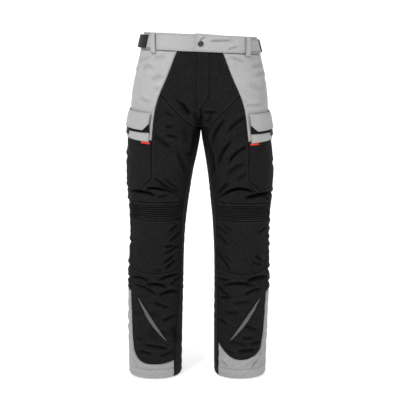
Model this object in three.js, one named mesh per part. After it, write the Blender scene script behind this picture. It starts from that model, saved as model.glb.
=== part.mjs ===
// Textile touring trousers in the shape they keep when worn, hollow, with no wearer in them.
// Every cloth piece is a thin wall between four seams. The seams are drawn on one body surface,
// so that neighbours meet edge to edge, and what lies on a panel is the same surface moved out.
// Millimetres, +Z up, the front faces -Y, and the wearer's left is +X.
import * as THREE from "three";

// Driving dimensions
const OUTSEAM = 1056; // top of the waistband to the hem
const BAND_HEIGHT = 50; // waistband
const ORIGIN_DOWN = 25; // the origin is the middle of the waistband's opening, at half its height
const CROTCH_DOWN = 280; // where the four rise and inseam lines meet
const INSEAM_TOP = CROTCH_DOWN + 1.5; // where the inner leg panel starts
const CLOTH = 1.8; // laminated shell fabric with its backing
const BAND_CLOTH = 3; // waistband, folded and stiffened
const WEBBING = 1.4;
const SEAM_GAP = 0.3; // between two pieces at a seam
const LAY_GAP = 0.3; // between a piece and what it lies on
const BAND_PROUD = 0.6; // the waistband's face stands this far out of the panels below it
const SIDE_SEAM = 0.6; // where the side seam runs round a half of the body, see bodyPoint
const RIB_COUNT = 8;
const RIB_HEIGHT = 2.6;
const FULLNESS = 0.035; // how much fuller than an ellipse a section is between front and side

const rows = (columns, table) =>
  table.map((row) => Object.fromEntries(columns.map((name, i) => [name, row[i]])));

// Sections of the body, one row for each height. down: below the waistband's top. out: how far the side
// reaches from the middle, in: the inseam. front, back: depth at the fullest point of each half, which
// lies the share anchor of the way from in to out. riseFront, riseBack: depth at the centre seam.
const SECTIONS = rows(
  [
    "down", "outRight", "outLeft", "inRight", "inLeft", "front", "back", "anchor",
    "riseFront", "riseBack", "sideY",
  ],
  [
    [0, 168, 171, 0, 0, 108, 108, 0.36, 112, 110, 0],
    [50, 180, 184, 0, 0, 115, 118, 0.38, 119, 119, 0],
    [125, 198, 200, 0, 0, 122, 134, 0.42, 125, 131, 4],
    [195, 210, 208, -1, 1, 124, 142, 0.46, 116, 127, 6],
    [232, 212, 210, -2, 2, 121, 139, 0.49, 96, 105, 6],
    [257, 214, 212, -3, 3, 118, 133, 0.5, 67, 75, 6],
    [272, 216, 214, -3, 3, 116, 128, 0.5, 34, 40, 6],
    [280, 217, 215, -3, 3, 115, 125, 0.5, -4, 4, 6],
    [309, 221, 219, -1, 5, 112, 119, 0.5, -4, 4, 6],
    [352, 226, 224, 6, 12, 107, 110, 0.5, -4, 4, 5],
    [414, 228, 228, 20, 22, 103, 98, 0.5, -2, 2, 2],
    [476, 224, 223, 30, 29, 102, 86, 0.5, 4, -4, -4],
    [508, 220, 220, 35, 32, 102, 82, 0.5, 6, -6, -6],
    [555, 218, 216, 41, 37, 100, 80, 0.5, 5, -5, -6],
    [602, 217, 215, 46, 40, 93, 84, 0.5, 1, -1, -3],
    [666, 221, 217, 49, 43, 86, 92, 0.5, -3, 3, 2],
    [762, 226, 218, 51, 44, 80, 97, 0.5, -6, 6, 6],
    [893, 228, 214, 54, 43, 78, 90, 0.5, -4, 4, 5],
    [1056, 226, 209, 57, 44, 82, 84, 0.5, -1, 1, 1],
  ],
);

// The waist sits a little askew: a level line falls by this much for each millimetre towards +X.
const TILTS = rows(["down", "slope"], [[0, 0.045], [50, 0.04], [220, 0.015], [500, 0.012], [1056, 0]]);

// The largest folds on the front. x and down give both ends, with x from the middle of the body, bow is
// how far the middle of the line rises above its chord, and depth is the trough's, with lips beside it.
const FOLDS = rows(
  ["side", "x1", "down1", "x2", "down2", "bow", "width", "depth"],
  [
    ["right", 210, 466, 136, 475, 3, 9, 8],
    ["right", 160, 455, 94, 468, 8, 9, 5],
    ["right", 112, 430, 67, 472, -4, 13, 6],
    ["right", 66, 191, 29, 234, 4, 15, 7],
    ["right", 215, 744, 157, 747, 3, 9, 6],
    ["right", 129, 742, 68, 727, 3, 9, 6],
    ["right", 166, 758, 98, 767, 4, 9, 7],
    ["right", 200, 762, 136, 787, 0, 10, 6],
    ["right", 122, 789, 73, 781, 3, 10, 6],
    ["left", 66, 479, 157, 465, 15, 9, 8],
    ["left", 135, 484, 215, 473, 4, 10, 9],
    ["left", 56, 466, 92, 432, 3, 11, 5],
    ["left", 59, 249, 41, 313, -4, 14, 6],
    ["left", 144, 250, 88, 306, -4, 14, 4],
    ["left", 72, 762, 167, 761, 7, 9, 8],
    ["left", 143, 748, 205, 739, 5, 10, 8],
    ["left", 58, 764, 89, 787, -4, 10, 6],
    ["left", 137, 789, 182, 771, 3, 10, 6],
    ["left", 64, 685, 90, 709, -3, 11, 5],
  ],
);

// Seams and edges that the front view fixes: x from the middle of the body, at each height.
const DIAGONAL = [[67, 50], [99, 131], [118, 172], [133, 220], [139, 262], [144, 312]]; // grey hip to black
const PRINCESS = [[3, CROTCH_DOWN], [36, 259], [76, 219], [118, 172]]; // crotch to the diagonal seam
const THIGH_SIDE = [[144, 312], [145, 370], [145, 424], [160, 440], [187, 472]];
const KNEE_ARC = {
  right: [[53, 494], [84, 468], [126, 453], [160, 459], [187, 472]],
  left: [[47, 494], [78, 468], [120, 453], [156, 459], [187, 472]],
};
const KNEE_CORNER = [[187, 472], [199, 483], [207, 494]];
const CAP_ENDS = 494; // the knee cap tapers to a narrow end here at both sides
// The seam beside the knee, at the cap's end and at the ribs' top and bottom.
const OUTER_AT_KNEE = [207, 208, 209];
const GAITER_EDGE = {
  right: [[213, 708], [216, 785], [213, 879], [210, 950], [207, 970]],
  left: [[207, 708], [206, 785], [200, 890], [195, 935], [190, 965]],
};
const SHIN_HEM = {
  right: [[80, 1003], [109, 1008], [137, 1011], [166, 1010], [188, 1002], [201, 988], [207, 970]],
  left: [[57, 950], [72, 970], [91, 987], [112, 996], [136, 997], [158, 991], [177, 981], [190, 965]],
};
const INNER_SEAM = { right: [[80, 1056], [80, 1003]], left: [[56, 1056], [57, 950]] };
const INNER_AT_THIGH = [[5, INSEAM_TOP], [26, 330], [38, 420]];
const INNER_AT_KNEE = { right: 53, left: 47 };
const RIBS_TOP = 500;
const RIBS_BOTTOM = 554;
const PAD_SEAM = [708, 722]; // the seam under the knee pad: at its ends, and at its middle
const GAITER_TOP = 785;
const KNEE_BACK = 540; // the seam behind the knee
const HIP_BOTTOM = 303; // where the grey hip panel ends at the side seam

const smoothstep = (low, high, x) => {
  const t = Math.min(1, Math.max(0, (x - low) / (high - low)));
  return t * t * (3 - 2 * t);
};
const mix = (a, b, t) => a + (b - a) * t;

// A smooth curve through a table's column that never overshoots it.
function curveOf(xs, ys) {
  const slopes = xs.slice(1).map((x, i) => (ys[i + 1] - ys[i]) / (x - xs[i]));
  const tangents = xs.map((_, i) => {
    if (i === 0) return slopes[0];
    if (i === xs.length - 1) return slopes[i - 1];
    const [a, b] = [slopes[i - 1], slopes[i]];
    return a * b <= 0 ? 0 : (2 * a * b) / (a + b);
  });
  return (x) => {
    let i = 0;
    while (i < xs.length - 2 && x > xs[i + 1]) i += 1;
    const h = xs[i + 1] - xs[i];
    const t = Math.min(1, Math.max(0, (x - xs[i]) / h));
    const rise = ys[i + 1] - ys[i];
    const [m0, m1] = [tangents[i] * h, tangents[i + 1] * h];
    return ys[i] + t * (m0 + t * (3 * rise - 2 * m0 - m1 + t * (m0 + m1 - 2 * rise)));
  };
}

const byColumn = (table) =>
  Object.fromEntries(
    Object.keys(table[0])
      .filter((name) => name !== "down")
      .map((name) => [name, curveOf(table.map((row) => row.down), table.map((row) => row[name]))]),
  );
const section = byColumn(SECTIONS);
const tilt = byColumn(TILTS);

// A quarter of a section, from the inseam or centre seam (t = 0) to the fullest point (t = 1). High on the
// rise it is nearly flat across the centre, and near the crotch it rolls in to meet the other half.
function innerQuarter(t, inner, anchorX, rise, depth) {
  const angle = (t * Math.PI) / 2;
  const full = 1 + FULLNESS * Math.sin(2 * angle) ** 2;
  const round = [
    anchorX - (anchorX - inner) * Math.cos(angle) * full,
    rise + (depth - rise) * Math.sin(angle) * full,
  ];
  const flat = [mix(inner, anchorX, t), mix(rise, depth, (1 - Math.cos(Math.PI * t)) / 2)];
  const roll = smoothstep(0, 0.45, 1 - rise / depth);
  return [mix(flat[0], round[0], roll), mix(flat[1], round[1], roll)];
}

// A point of the smooth body. u runs round one half: 0 is the centre front above the crotch and the inseam
// below it, 1/4 the fullest front, 1/2 the side, 3/4 the fullest back and 1 the centre back or inseam.
function bodyPoint(side, u, down) {
  const sign = side === "right" ? -1 : 1;
  const around = u < 0 ? u + 1 : u;
  const outer = section[side === "right" ? "outRight" : "outLeft"](down);
  const inner = section[side === "right" ? "inRight" : "inLeft"](down) + SEAM_GAP / 2;
  const anchorX = mix(inner, outer, section.anchor(down));
  const [front, back, sideY] = [section.front(down), section.back(down), section.sideY(down)];
  const quarter = Math.min(3, Math.floor(around * 4));
  const t = around * 4 - quarter;
  let x, y;
  if (quarter === 0) [x, y] = innerQuarter(t, inner, anchorX, -section.riseFront(down), -front);
  else if (quarter === 3) [x, y] = innerQuarter(1 - t, inner, anchorX, section.riseBack(down), back);
  else {
    const angle = ((quarter === 1 ? 1 - t : t) * Math.PI) / 2;
    const full = 1 + FULLNESS * Math.sin(2 * angle) ** 2;
    const depth = quarter === 1 ? -front : back;
    x = anchorX + (outer - anchorX) * Math.cos(angle) * full;
    y = sideY + (depth - sideY) * Math.sin(angle) * full;
  }
  return new THREE.Vector3(sign * x, y, ORIGIN_DOWN - down - tilt.slope(down) * sign * x);
}

function normalOf(surface, side, u, down) {
  const [du, dd] = [0.004, 1];
  const low = down > CROTCH_DOWN;
  const [u0, u1] = low ? [u - du, u + du] : [Math.max(0, u - du), Math.min(1, u + du)];
  const [d0, d1] = low ? [down - dd, down + dd] : [down - dd, Math.min(down + dd, CROTCH_DOWN)];
  const across = surface(side, u1, down).sub(surface(side, u0, down));
  const along = surface(side, u, d1).sub(surface(side, u, d0));
  const normal = along.cross(across).normalize();
  return side === "right" ? normal.negate() : normal;
}

// How far the folds push the front of the body in or out at a point.
function foldDepth(side, x, down) {
  let sum = 0;
  for (const fold of FOLDS) {
    if (fold.side !== side) continue;
    const [dx, dd] = [fold.x2 - fold.x1, fold.down2 - fold.down1];
    const length = Math.hypot(dx, dd);
    const along = ((x - fold.x1) * dx + (down - fold.down1) * dd) / length ** 2;
    const bow = fold.bow * 4 * along * (1 - along);
    const off = ((x - fold.x1) * dd - (down - fold.down1) * dx) / length;
    const across = (off * Math.sign(dx || 1) - bow) / fold.width;
    const ends = smoothstep(-0.1, 0.3, along) * (1 - smoothstep(0.7, 1.1, along));
    sum += ends * fold.depth * (0.45 * Math.exp(-((Math.abs(across) - 2) ** 2)) - Math.exp(-(across ** 2)));
  }
  return sum;
}

// The cloth's outer face: the smooth body with its folds.
function clothPoint(side, u, down) {
  const point = bodyPoint(side, u, down);
  const facing = smoothstep(section.sideY(down) + 5, section.sideY(down) - 30, point.y);
  const depth = u < 0.55 ? foldDepth(side, Math.abs(point.x), down) * facing : 0;
  return depth ? point.addScaledVector(normalOf(bodyPoint, side, u, down), depth) : point;
}

// A point above the cloth's face by height. s runs round both halves from the centre front: 0 to 1 is the
// left half and 0 to -1 the right, and past 1 it goes on over the centre back.
function above(s, down, height) {
  const wrapped = s > 1 ? s - 2 : s;
  const side = wrapped < 0 ? "right" : "left";
  const u = Math.abs(wrapped);
  return clothPoint(side, u, down).addScaledVector(normalOf(clothPoint, side, u, down), height);
}

// Where on the front a given distance from the middle lies, as u.
function uAt(side, x, down) {
  let [low, high] = [0, 0.5];
  for (let i = 0; i < 30; i += 1) {
    const middle = (low + high) / 2;
    if (Math.abs(bodyPoint(side, middle, down).x) < x) low = middle;
    else high = middle;
  }
  return (low + high) / 2;
}

// A seam: a smooth line through points of [x, down] on the front, as count steps of equal length, each a
// place {u, down} on the body.
function frontSeam(side, points, count) {
  const spans = points.map((p, i) => (i ? Math.hypot(p[0] - points[i - 1][0], p[1] - points[i - 1][1]) : 0));
  let total = 0;
  const at = spans.map((span) => (total += span));
  const [xOf, downOf] = [0, 1].map((k) => curveOf(at, points.map((p) => p[k])));
  return evenly((t) => {
    const down = downOf(t * total);
    return { u: uAt(side, xOf(t * total), down), down };
  }, side, count);
}

function evenly(placeAt, side, count) {
  const fine = 60;
  const places = Array.from({ length: fine + 1 }, (_, i) => placeAt(i / fine));
  const lengths = [0];
  const points = places.map((place) => bodyPoint(side, place.u, place.down));
  for (let i = 1; i <= fine; i += 1) lengths.push(lengths[i - 1] + points[i].distanceTo(points[i - 1]));
  return Array.from({ length: count + 1 }, (_, k) => {
    const target = (lengths[fine] * k) / count;
    let i = 1;
    while (i < fine && lengths[i] < target) i += 1;
    return placeAt((i - 1 + (target - lengths[i - 1]) / (lengths[i] - lengths[i - 1])) / fine);
  });
}

// A straight line between two places.
const line = (side, from, to, count) =>
  evenly((t) => ({ u: mix(from.u, to.u, t), down: mix(from.down, to.down, t) }), side, count);
const join = (...parts) => parts.flatMap((part, i) => (i ? part.slice(1) : part));
const last = (list) => list[list.length - 1];
const ends = (list) => [list[0], last(list)];

// The grid of places between four seams: top and bottom run away from the centre, left and right run down.
function placesBetween({ top, bottom, left, right }) {
  const [m, n] = [top.length - 1, left.length - 1];
  const corner = (key, a, b) =>
    mix(mix(top[0][key], top[m][key], a), mix(bottom[0][key], bottom[m][key], a), b);
  return left.map((_, j) =>
    top.map((_, i) => {
      const [a, b] = [i / m, j / n];
      const place = (key) =>
        mix(top[i][key], bottom[i][key], b) + mix(left[j][key], right[j][key], a) - corner(key, a, b);
      return { u: place("u"), down: place("down"), a, b };
    }),
  );
}

// Moves the edge points of a grid inwards by half a seam gap, square to the edge.
function drawIn(grid, gapless) {
  const [n, m] = [grid.length - 1, grid[0].length - 1];
  const moves = [];
  const pull = (j, i, inwards, before, after) => {
    const edge = grid[after[0]][after[1]].clone().sub(grid[before[0]][before[1]]).normalize();
    const into = grid[inwards[0]][inwards[1]].clone().sub(grid[j][i]);
    into.addScaledVector(edge, -into.dot(edge)).normalize();
    moves.push([grid[j][i], into.multiplyScalar(SEAM_GAP / 2)]);
  };
  for (let j = 0; j <= n; j += 1) {
    const [before, after] = [Math.max(0, j - 1), Math.min(n, j + 1)];
    if (!gapless.includes("left")) pull(j, 0, [j, 1], [before, 0], [after, 0]);
    if (!gapless.includes("right")) pull(j, m, [j, m - 1], [before, m], [after, m]);
  }
  for (let i = 0; i <= m; i += 1) {
    const [before, after] = [Math.max(0, i - 1), Math.min(m, i + 1)];
    if (!gapless.includes("top")) pull(0, i, [1, i], [0, before], [0, after]);
    if (!gapless.includes("bottom")) pull(n, i, [n - 1, i], [n, before], [n, after]);
  }
  moves.forEach(([point, move]) => point.add(move));
}

// A closed wall between an outer and an inner grid of points.
function wallGeometry(outer, inner) {
  const [n, m] = [outer.length - 1, outer[0].length - 1];
  const points = [...outer.flat(), ...inner.flat()];
  const at = (layer, j, i) => layer * (n + 1) * (m + 1) + j * (m + 1) + i;
  const index = [];
  const quad = (a, b, c, d) => {
    if (points[a].distanceTo(points[c]) <= points[b].distanceTo(points[d])) index.push(a, b, c, a, c, d);
    else index.push(a, b, d, b, c, d);
  };
  for (let j = 0; j < n; j += 1)
    for (let i = 0; i < m; i += 1) {
      quad(at(0, j, i), at(0, j + 1, i), at(0, j + 1, i + 1), at(0, j, i + 1));
      quad(at(1, j, i), at(1, j, i + 1), at(1, j + 1, i + 1), at(1, j + 1, i));
    }
  for (let j = 0; j < n; j += 1) {
    quad(at(0, j, 0), at(1, j, 0), at(1, j + 1, 0), at(0, j + 1, 0));
    quad(at(0, j, m), at(0, j + 1, m), at(1, j + 1, m), at(1, j, m));
  }
  for (let i = 0; i < m; i += 1) {
    quad(at(0, 0, i), at(0, 0, i + 1), at(1, 0, i + 1), at(1, 0, i));
    quad(at(0, n, i), at(1, n, i), at(1, n, i + 1), at(0, n, i + 1));
  }
  let volume = 0;
  for (let k = 0; k < index.length; k += 3) {
    const [a, b, c] = [points[index[k]], points[index[k + 1]], points[index[k + 2]]];
    volume += a.dot(b.clone().cross(c));
  }
  if (volume < 0) index.reverse();
  const geometry = new THREE.BufferGeometry().setFromPoints(points);
  geometry.setIndex(index);
  geometry.computeVertexNormals();
  return geometry;
}

const COLOURS = {
  black: { color: 0x1d1d1e, roughness: 0.85, metalness: 0 },
  grey: { color: 0xb4b4b4, roughness: 0.85, metalness: 0 },
  reflector: { color: 0x6a6a6a, roughness: 0.45, metalness: 0 },
  red: { color: 0xd8402f, roughness: 0.75, metalness: 0 },
  rubber: { color: 0x262627, roughness: 0.6, metalness: 0 },
  metal: { color: 0x4b4a4c, roughness: 0.35, metalness: 0.8 },
};
const trousers = new THREE.Group();

function add(name, geometry, colour) {
  const mesh = new THREE.Mesh(geometry, new THREE.MeshStandardMaterial(COLOURS[colour]));
  mesh.name = name;
  trousers.add(mesh);
  return mesh;
}

// A cloth piece between four seams of one half. lift gives its inner face's height above the body's cloth
// at a share a across and b down the piece, and raise what its outer face adds to the wall there.
function addPanel(name, side, colour, seams, options = {}) {
  const { thick = CLOTH, lift = () => -thick, raise = () => 0, gapless = [] } = options;
  const places = placesBetween(seams);
  const layer = (height) => places.map((row) => row.map((p) => lifted(side, p, height(p.a, p.b))));
  const outer = layer((a, b) => lift(a, b) + thick + raise(a, b));
  const inner = layer((a, b) => lift(a, b));
  drawIn(outer, gapless);
  drawIn(inner, gapless);
  return add(name, wallGeometry(outer, inner), colour);
}

// Below the crotch u may run past the inseam, so the side is stated and not read from its sign.
const lifted = (side, { u, down }, height) =>
  clothPoint(side, u, down).addScaledVector(normalOf(clothPoint, side, u, down), height);

// The seams of one half, each sampled once, so that the pieces on both sides of it share its points.
function seamsOf(side) {
  const at = (u, down) => ({ u, down });
  const innerFront = (from, to, count) => {
    const knee = INNER_AT_KNEE[side];
    const points = [
      ...INNER_AT_THIGH,
      [knee, RIBS_TOP],
      [knee + 4, RIBS_BOTTOM],
      [knee + 7, PAD_SEAM[0]],
      ...[...INNER_SEAM[side]].reverse(),
    ];
    const xOf = curveOf(points.map((p) => p[1]), points.map((p) => p[0]));
    return evenly((t) => {
      const down = mix(from, to, t);
      return at(uAt(side, xOf(down), down), down);
    }, side, count);
  };
  const innerBack = (from, to, count) => {
    const width = curveOf([INSEAM_TOP, 340, KNEE_BACK, OUTSEAM], [0.012, 0.1, 0.09, 0.09]);
    return evenly((t) => at(1 - width(mix(from, to, t)), mix(from, to, t)), side, count);
  };
  const edge = GAITER_EDGE[side];
  const sideOfKnee = curveOf([CAP_ENDS, RIBS_TOP, RIBS_BOTTOM, PAD_SEAM[0]], [...OUTER_AT_KNEE, edge[0][0]]);
  const kneeSide = (from, to, count) =>
    evenly((t) => {
      const down = mix(from, to, t);
      return at(uAt(side, sideOfKnee(down), down), down);
    }, side, count);
  const s = {
    riseFront: line(side, at(0, BAND_HEIGHT), at(0, CROTCH_DOWN), 9),
    riseBack: line(side, at(1, BAND_HEIGHT), at(1, CROTCH_DOWN), 9),
    waistFront: line(side, at(0, BAND_HEIGHT), at(uAt(side, DIAGONAL[0][0], BAND_HEIGHT), BAND_HEIGHT), 7),
    diagonalHigh: frontSeam(side, DIAGONAL.slice(0, 3), 9),
    diagonalLow: frontSeam(side, DIAGONAL.slice(2), 6),
    princess: frontSeam(side, PRINCESS, 7),
    thighSide: frontSeam(side, THIGH_SIDE, 12),
    innerThigh: innerFront(INSEAM_TOP, CAP_ENDS, 18),
    innerCap: innerFront(CAP_ENDS, RIBS_TOP, 3),
    innerRibs: innerFront(RIBS_TOP, RIBS_BOTTOM, 2 * RIB_COUNT),
    innerPad: innerFront(RIBS_BOTTOM, PAD_SEAM[0], 8),
    innerShin: join(
      innerFront(PAD_SEAM[0], GAITER_TOP, 6),
      innerFront(GAITER_TOP, INNER_SEAM[side][1][1], 8),
    ),
    innerHem: innerFront(INNER_SEAM[side][1][1], OUTSEAM, 2),
    innerHemFine: innerFront(INNER_SEAM[side][1][1], OUTSEAM, 4),
    kneeArc: frontSeam(side, KNEE_ARC[side], 7),
    kneeCorner: frontSeam(side, KNEE_CORNER, 2),
    capSide: kneeSide(CAP_ENDS, RIBS_TOP, 3),
    ribsSide: kneeSide(RIBS_TOP, RIBS_BOTTOM, 2 * RIB_COUNT),
    ribsSideCoarse: kneeSide(RIBS_TOP, RIBS_BOTTOM, 3),
    padSide: kneeSide(RIBS_BOTTOM, PAD_SEAM[0], 8),
    shinSideHigh: frontSeam(side, edge.slice(0, 2), 6),
    shinSideLow: frontSeam(side, edge.slice(1), 8),
    shinHem: frontSeam(side, SHIN_HEM[side], 9),
    innerBackHigh: innerBack(INSEAM_TOP, KNEE_BACK, 19),
    innerBackLow: innerBack(KNEE_BACK, OUTSEAM, 26),
    sideHip: line(side, at(SIDE_SEAM, BAND_HEIGHT), at(SIDE_SEAM, HIP_BOTTOM), 15),
    sideThigh: line(side, at(SIDE_SEAM, HIP_BOTTOM), at(SIDE_SEAM, KNEE_BACK), 14),
    sideKnee: line(side, at(SIDE_SEAM, KNEE_BACK), at(SIDE_SEAM, GAITER_TOP), 18),
    sideGaiter: line(side, at(SIDE_SEAM, GAITER_TOP), at(SIDE_SEAM, OUTSEAM), 8),
  };
  // Lines straight round the body between two seams.
  s.waistSide = line(side, last(s.waistFront), at(SIDE_SEAM, BAND_HEIGHT), 6);
  s.waistBack = line(side, at(SIDE_SEAM, BAND_HEIGHT), at(1, BAND_HEIGHT), 6);
  s.hipBottom = line(side, last(s.diagonalLow), at(SIDE_SEAM, HIP_BOTTOM), 6);
  s.ribsTop = line(side, last(s.innerCap), last(s.capSide), 9);
  s.ribsBottom = line(side, last(s.innerRibs), last(s.ribsSide), 9);
  const padLine = line(side, last(s.innerPad), last(s.padSide), 9);
  s.pad = padLine.map((p, i) => at(p.u, p.down + (PAD_SEAM[1] - PAD_SEAM[0]) * Math.sin((Math.PI * i) / 9)));
  s.kneeBack = line(side, at(SIDE_SEAM, KNEE_BACK), last(s.innerBackHigh), 6);
  return s;
}

function addHalf(side) {
  const s = seamsOf(side);
  const at = (u, down) => ({ u, down });

  addPanel(`front_centre_${side}`, side, "black", {
    top: s.waistFront, bottom: [last(s.riseFront), ...s.princess.slice(1)],
    left: s.riseFront, right: s.diagonalHigh,
  }, { gapless: ["left"] });
  addPanel(`hip_panel_${side}`, side, "grey", {
    top: s.waistSide, bottom: s.hipBottom, left: join(s.diagonalHigh, s.diagonalLow), right: s.sideHip,
  });
  addPanel(`thigh_front_${side}`, side, "black", {
    top: [s.innerThigh[0], ...s.princess.slice(1)], bottom: s.kneeArc,
    left: s.innerThigh, right: join(s.diagonalLow, s.thighSide),
  });
  addPanel(`knee_cap_${side}`, side, "black", {
    top: join(s.kneeArc, s.kneeCorner), bottom: s.ribsTop, left: s.innerCap, right: s.capSide,
  });
  const ribEnds = (a) => smoothstep(0, 0.06, a) * (1 - smoothstep(0.94, 1, a));
  addPanel(`knee_ribs_${side}`, side, "black", {
    top: s.ribsTop, bottom: s.ribsBottom, left: s.innerRibs, right: s.ribsSide,
  }, {
    raise: (a, b) => RIB_HEIGHT * Math.abs(Math.sin(Math.PI * RIB_COUNT * b)) * ribEnds(a),
  });
  addPanel(`knee_pad_panel_${side}`, side, "black", {
    top: s.ribsBottom, bottom: s.pad, left: s.innerPad, right: s.padSide,
  });
  addPanel(`shin_panel_${side}`, side, "black", {
    top: s.pad, bottom: s.shinHem, left: s.innerShin, right: join(s.shinSideHigh, s.shinSideLow),
  });
  const hemOutside = line(side, last(s.innerHem), last(s.sideGaiter), 9);
  addPanel(`gaiter_${side}`, side, "grey", {
    top: join(s.shinHem, [...s.shinSideLow].reverse()), bottom: join(hemOutside, [...s.sideGaiter].reverse()),
    left: s.innerHemFine, right: line(side, s.shinSideLow[0], s.sideGaiter[0], 4),
  });
  const frontOfSide = join(
    s.thighSide, s.kneeCorner, ends(s.capSide), s.ribsSideCoarse, s.padSide, s.shinSideHigh,
  );
  addPanel(`side_panel_${side}`, side, "black", {
    top: s.hipBottom, bottom: line(side, last(s.shinSideHigh), s.sideGaiter[0], 6),
    left: frontOfSide, right: join(s.sideThigh, s.sideKnee),
  });
  const innerRibs = s.innerRibs.filter((_, i) => i % RIB_COUNT === 0);
  const innerFront = join(s.innerThigh, ends(s.innerCap), innerRibs, s.innerPad, s.innerShin, s.innerHem);
  const innerBack = join(s.innerBackHigh, s.innerBackLow).map((p) => at(p.u - 1, p.down));
  addPanel(`inner_leg_${side}`, side, "black", {
    top: line(side, innerBack[0], innerFront[0], 4), bottom: line(side, last(innerBack), last(innerFront), 4),
    left: innerBack, right: innerFront,
  });
  addPanel(`back_upper_${side}`, side, "black", {
    top: s.waistBack, bottom: s.kneeBack, left: join(s.sideHip, s.sideThigh),
    right: [...s.riseBack, ...s.innerBackHigh],
  });
  addPanel(`back_lower_${side}`, side, "black", {
    top: s.kneeBack, bottom: line(side, last(s.sideGaiter), last(s.innerBackLow), 6),
    left: join(s.sideKnee, s.sideGaiter), right: s.innerBackLow,
  });
  addPocket(side);
  addReflector(side);
}

// Cargo pocket: a black face with a grey band below it, both standing out of the hip panel and turned
// down to it at their edges, under a grey flap with a cut corner. A pull tab hangs from under the flap.
const POCKET_BACK = 0.565;
const POCKET_LIFT = 2.6; // how far the face's middle stands out
const FLAP_STAND = 2.3; // how much further out the flap's free edge stands
const FLAP_CLOTH = 2.4; // two layers
const OVER_GAP = 0.9; // over a rounded piece, where flat facets come nearer than their corners
const POCKET_TOP = 240;
const POCKET_SEAM = [289, 286]; // where face and band meet: at the front edge, and at the back
const POCKET_BOTTOM = [317, 304];
const RED_TAB_X = [148, 175];
const RED_TAB_HANG = 7;
const TAPE = 1;
const FLAP_TOP = [229, 223];

function addPocket(side) {
  const front = (x, down) => ({ u: uAt(side, x, down), down });
  const back = (down) => ({ u: POCKET_BACK, down });
  const edgeLift = (a) => smoothstep(0, 0.14, a) * (1 - smoothstep(0.86, 1, a));
  const face = {
    top: line(side, front(149, POCKET_TOP), back(POCKET_TOP - 3), 9),
    bottom: line(side, front(149, POCKET_SEAM[0]), back(POCKET_SEAM[1]), 9),
    left: line(side, front(149, POCKET_TOP), front(149, POCKET_SEAM[0]), 3),
    right: line(side, back(POCKET_TOP - 3), back(POCKET_SEAM[1]), 3),
  };
  addPanel(`pocket_face_${side}`, side, "black", face, {
    lift: (a) => OVER_GAP + POCKET_LIFT * edgeLift(a),
  });
  const cut = front(152, POCKET_BOTTOM[0] - 1);
  const band = {
    top: face.bottom,
    bottom: line(side, cut, back(POCKET_BOTTOM[1]), 9),
    left: line(side, face.bottom[0], cut, 3),
    right: line(side, back(POCKET_SEAM[1]), back(POCKET_BOTTOM[1]), 3),
  };
  const bandLift = (a, b) => OVER_GAP + POCKET_LIFT * edgeLift(a) * (1 - smoothstep(0.5, 1, b));
  addPanel(`pocket_band_${side}`, side, "grey", band, { lift: bandLift });
  const corner = front(148, 261);
  const cutEnd = front(166, 281);
  const flap = {
    top: line(side, front(143, FLAP_TOP[0]), { u: 0.575, down: FLAP_TOP[1] }, 9),
    bottom: join(line(side, corner, cutEnd, 1), line(side, cutEnd, { u: 0.575, down: 274 }, 8)),
    left: line(side, front(143, FLAP_TOP[0]), corner, 4),
    right: line(side, { u: 0.575, down: FLAP_TOP[1] }, { u: 0.575, down: 274 }, 4),
  };
  const overFace = POCKET_LIFT + CLOTH + OVER_GAP;
  addPanel(`pocket_flap_${side}`, side, "grey", flap, {
    thick: FLAP_CLOTH,
    lift: (a, b) => OVER_GAP + overFace * smoothstep(0, 0.24, b) + FLAP_STAND * smoothstep(0.24, 1, b),
  });
  const pull = {
    top: line(side, { u: 0.425, down: 270 }, { u: 0.475, down: 270 }, 2),
    bottom: line(side, { u: 0.425, down: 299 }, { u: 0.475, down: 299 }, 2),
    left: line(side, { u: 0.425, down: 270 }, { u: 0.425, down: 299 }, 3),
    right: line(side, { u: 0.475, down: 270 }, { u: 0.475, down: 299 }, 3),
  };
  addPanel(`flap_pull_${side}`, side, "rubber", pull, {
    thick: WEBBING, lift: () => overFace + 2 * LAY_GAP,
  });
  const [redFrom, redTo] = RED_TAB_X.map((x) => front(x, POCKET_BOTTOM[0]).u);
  const shareOf = (u) => (u - cut.u) / (POCKET_BACK - cut.u);
  const below = (u) => mix(cut.down, POCKET_BOTTOM[1], shareOf(u));
  const redEdge = (hang) =>
    line(side, { u: redFrom, down: below(redFrom) + hang }, { u: redTo, down: below(redTo) + hang }, 2);
  const [redTop, redHem] = [redEdge(0), redEdge(RED_TAB_HANG)];
  addPanel(`red_tab_${side}`, side, "red", {
    top: redTop, bottom: redHem, left: [redTop[0], redHem[0]], right: [redTop[2], redHem[2]],
  }, { thick: TAPE, lift: () => 2 * LAY_GAP });
}

// Reflective sliver on the shin: a spindle from high on the outside to low on the inside.
const REFLECTOR = { right: [[189, 801], [105, 936]], left: [[183, 801], [93, 936]] };
const REFLECTOR_WIDTH = 10;
const REFLECTOR_BOW = { right: 5, left: 4 };
const REFLECTOR_TIP = 0.6; // half its width at both ends
const REFLECTOR_FILM = 0.8;

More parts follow.
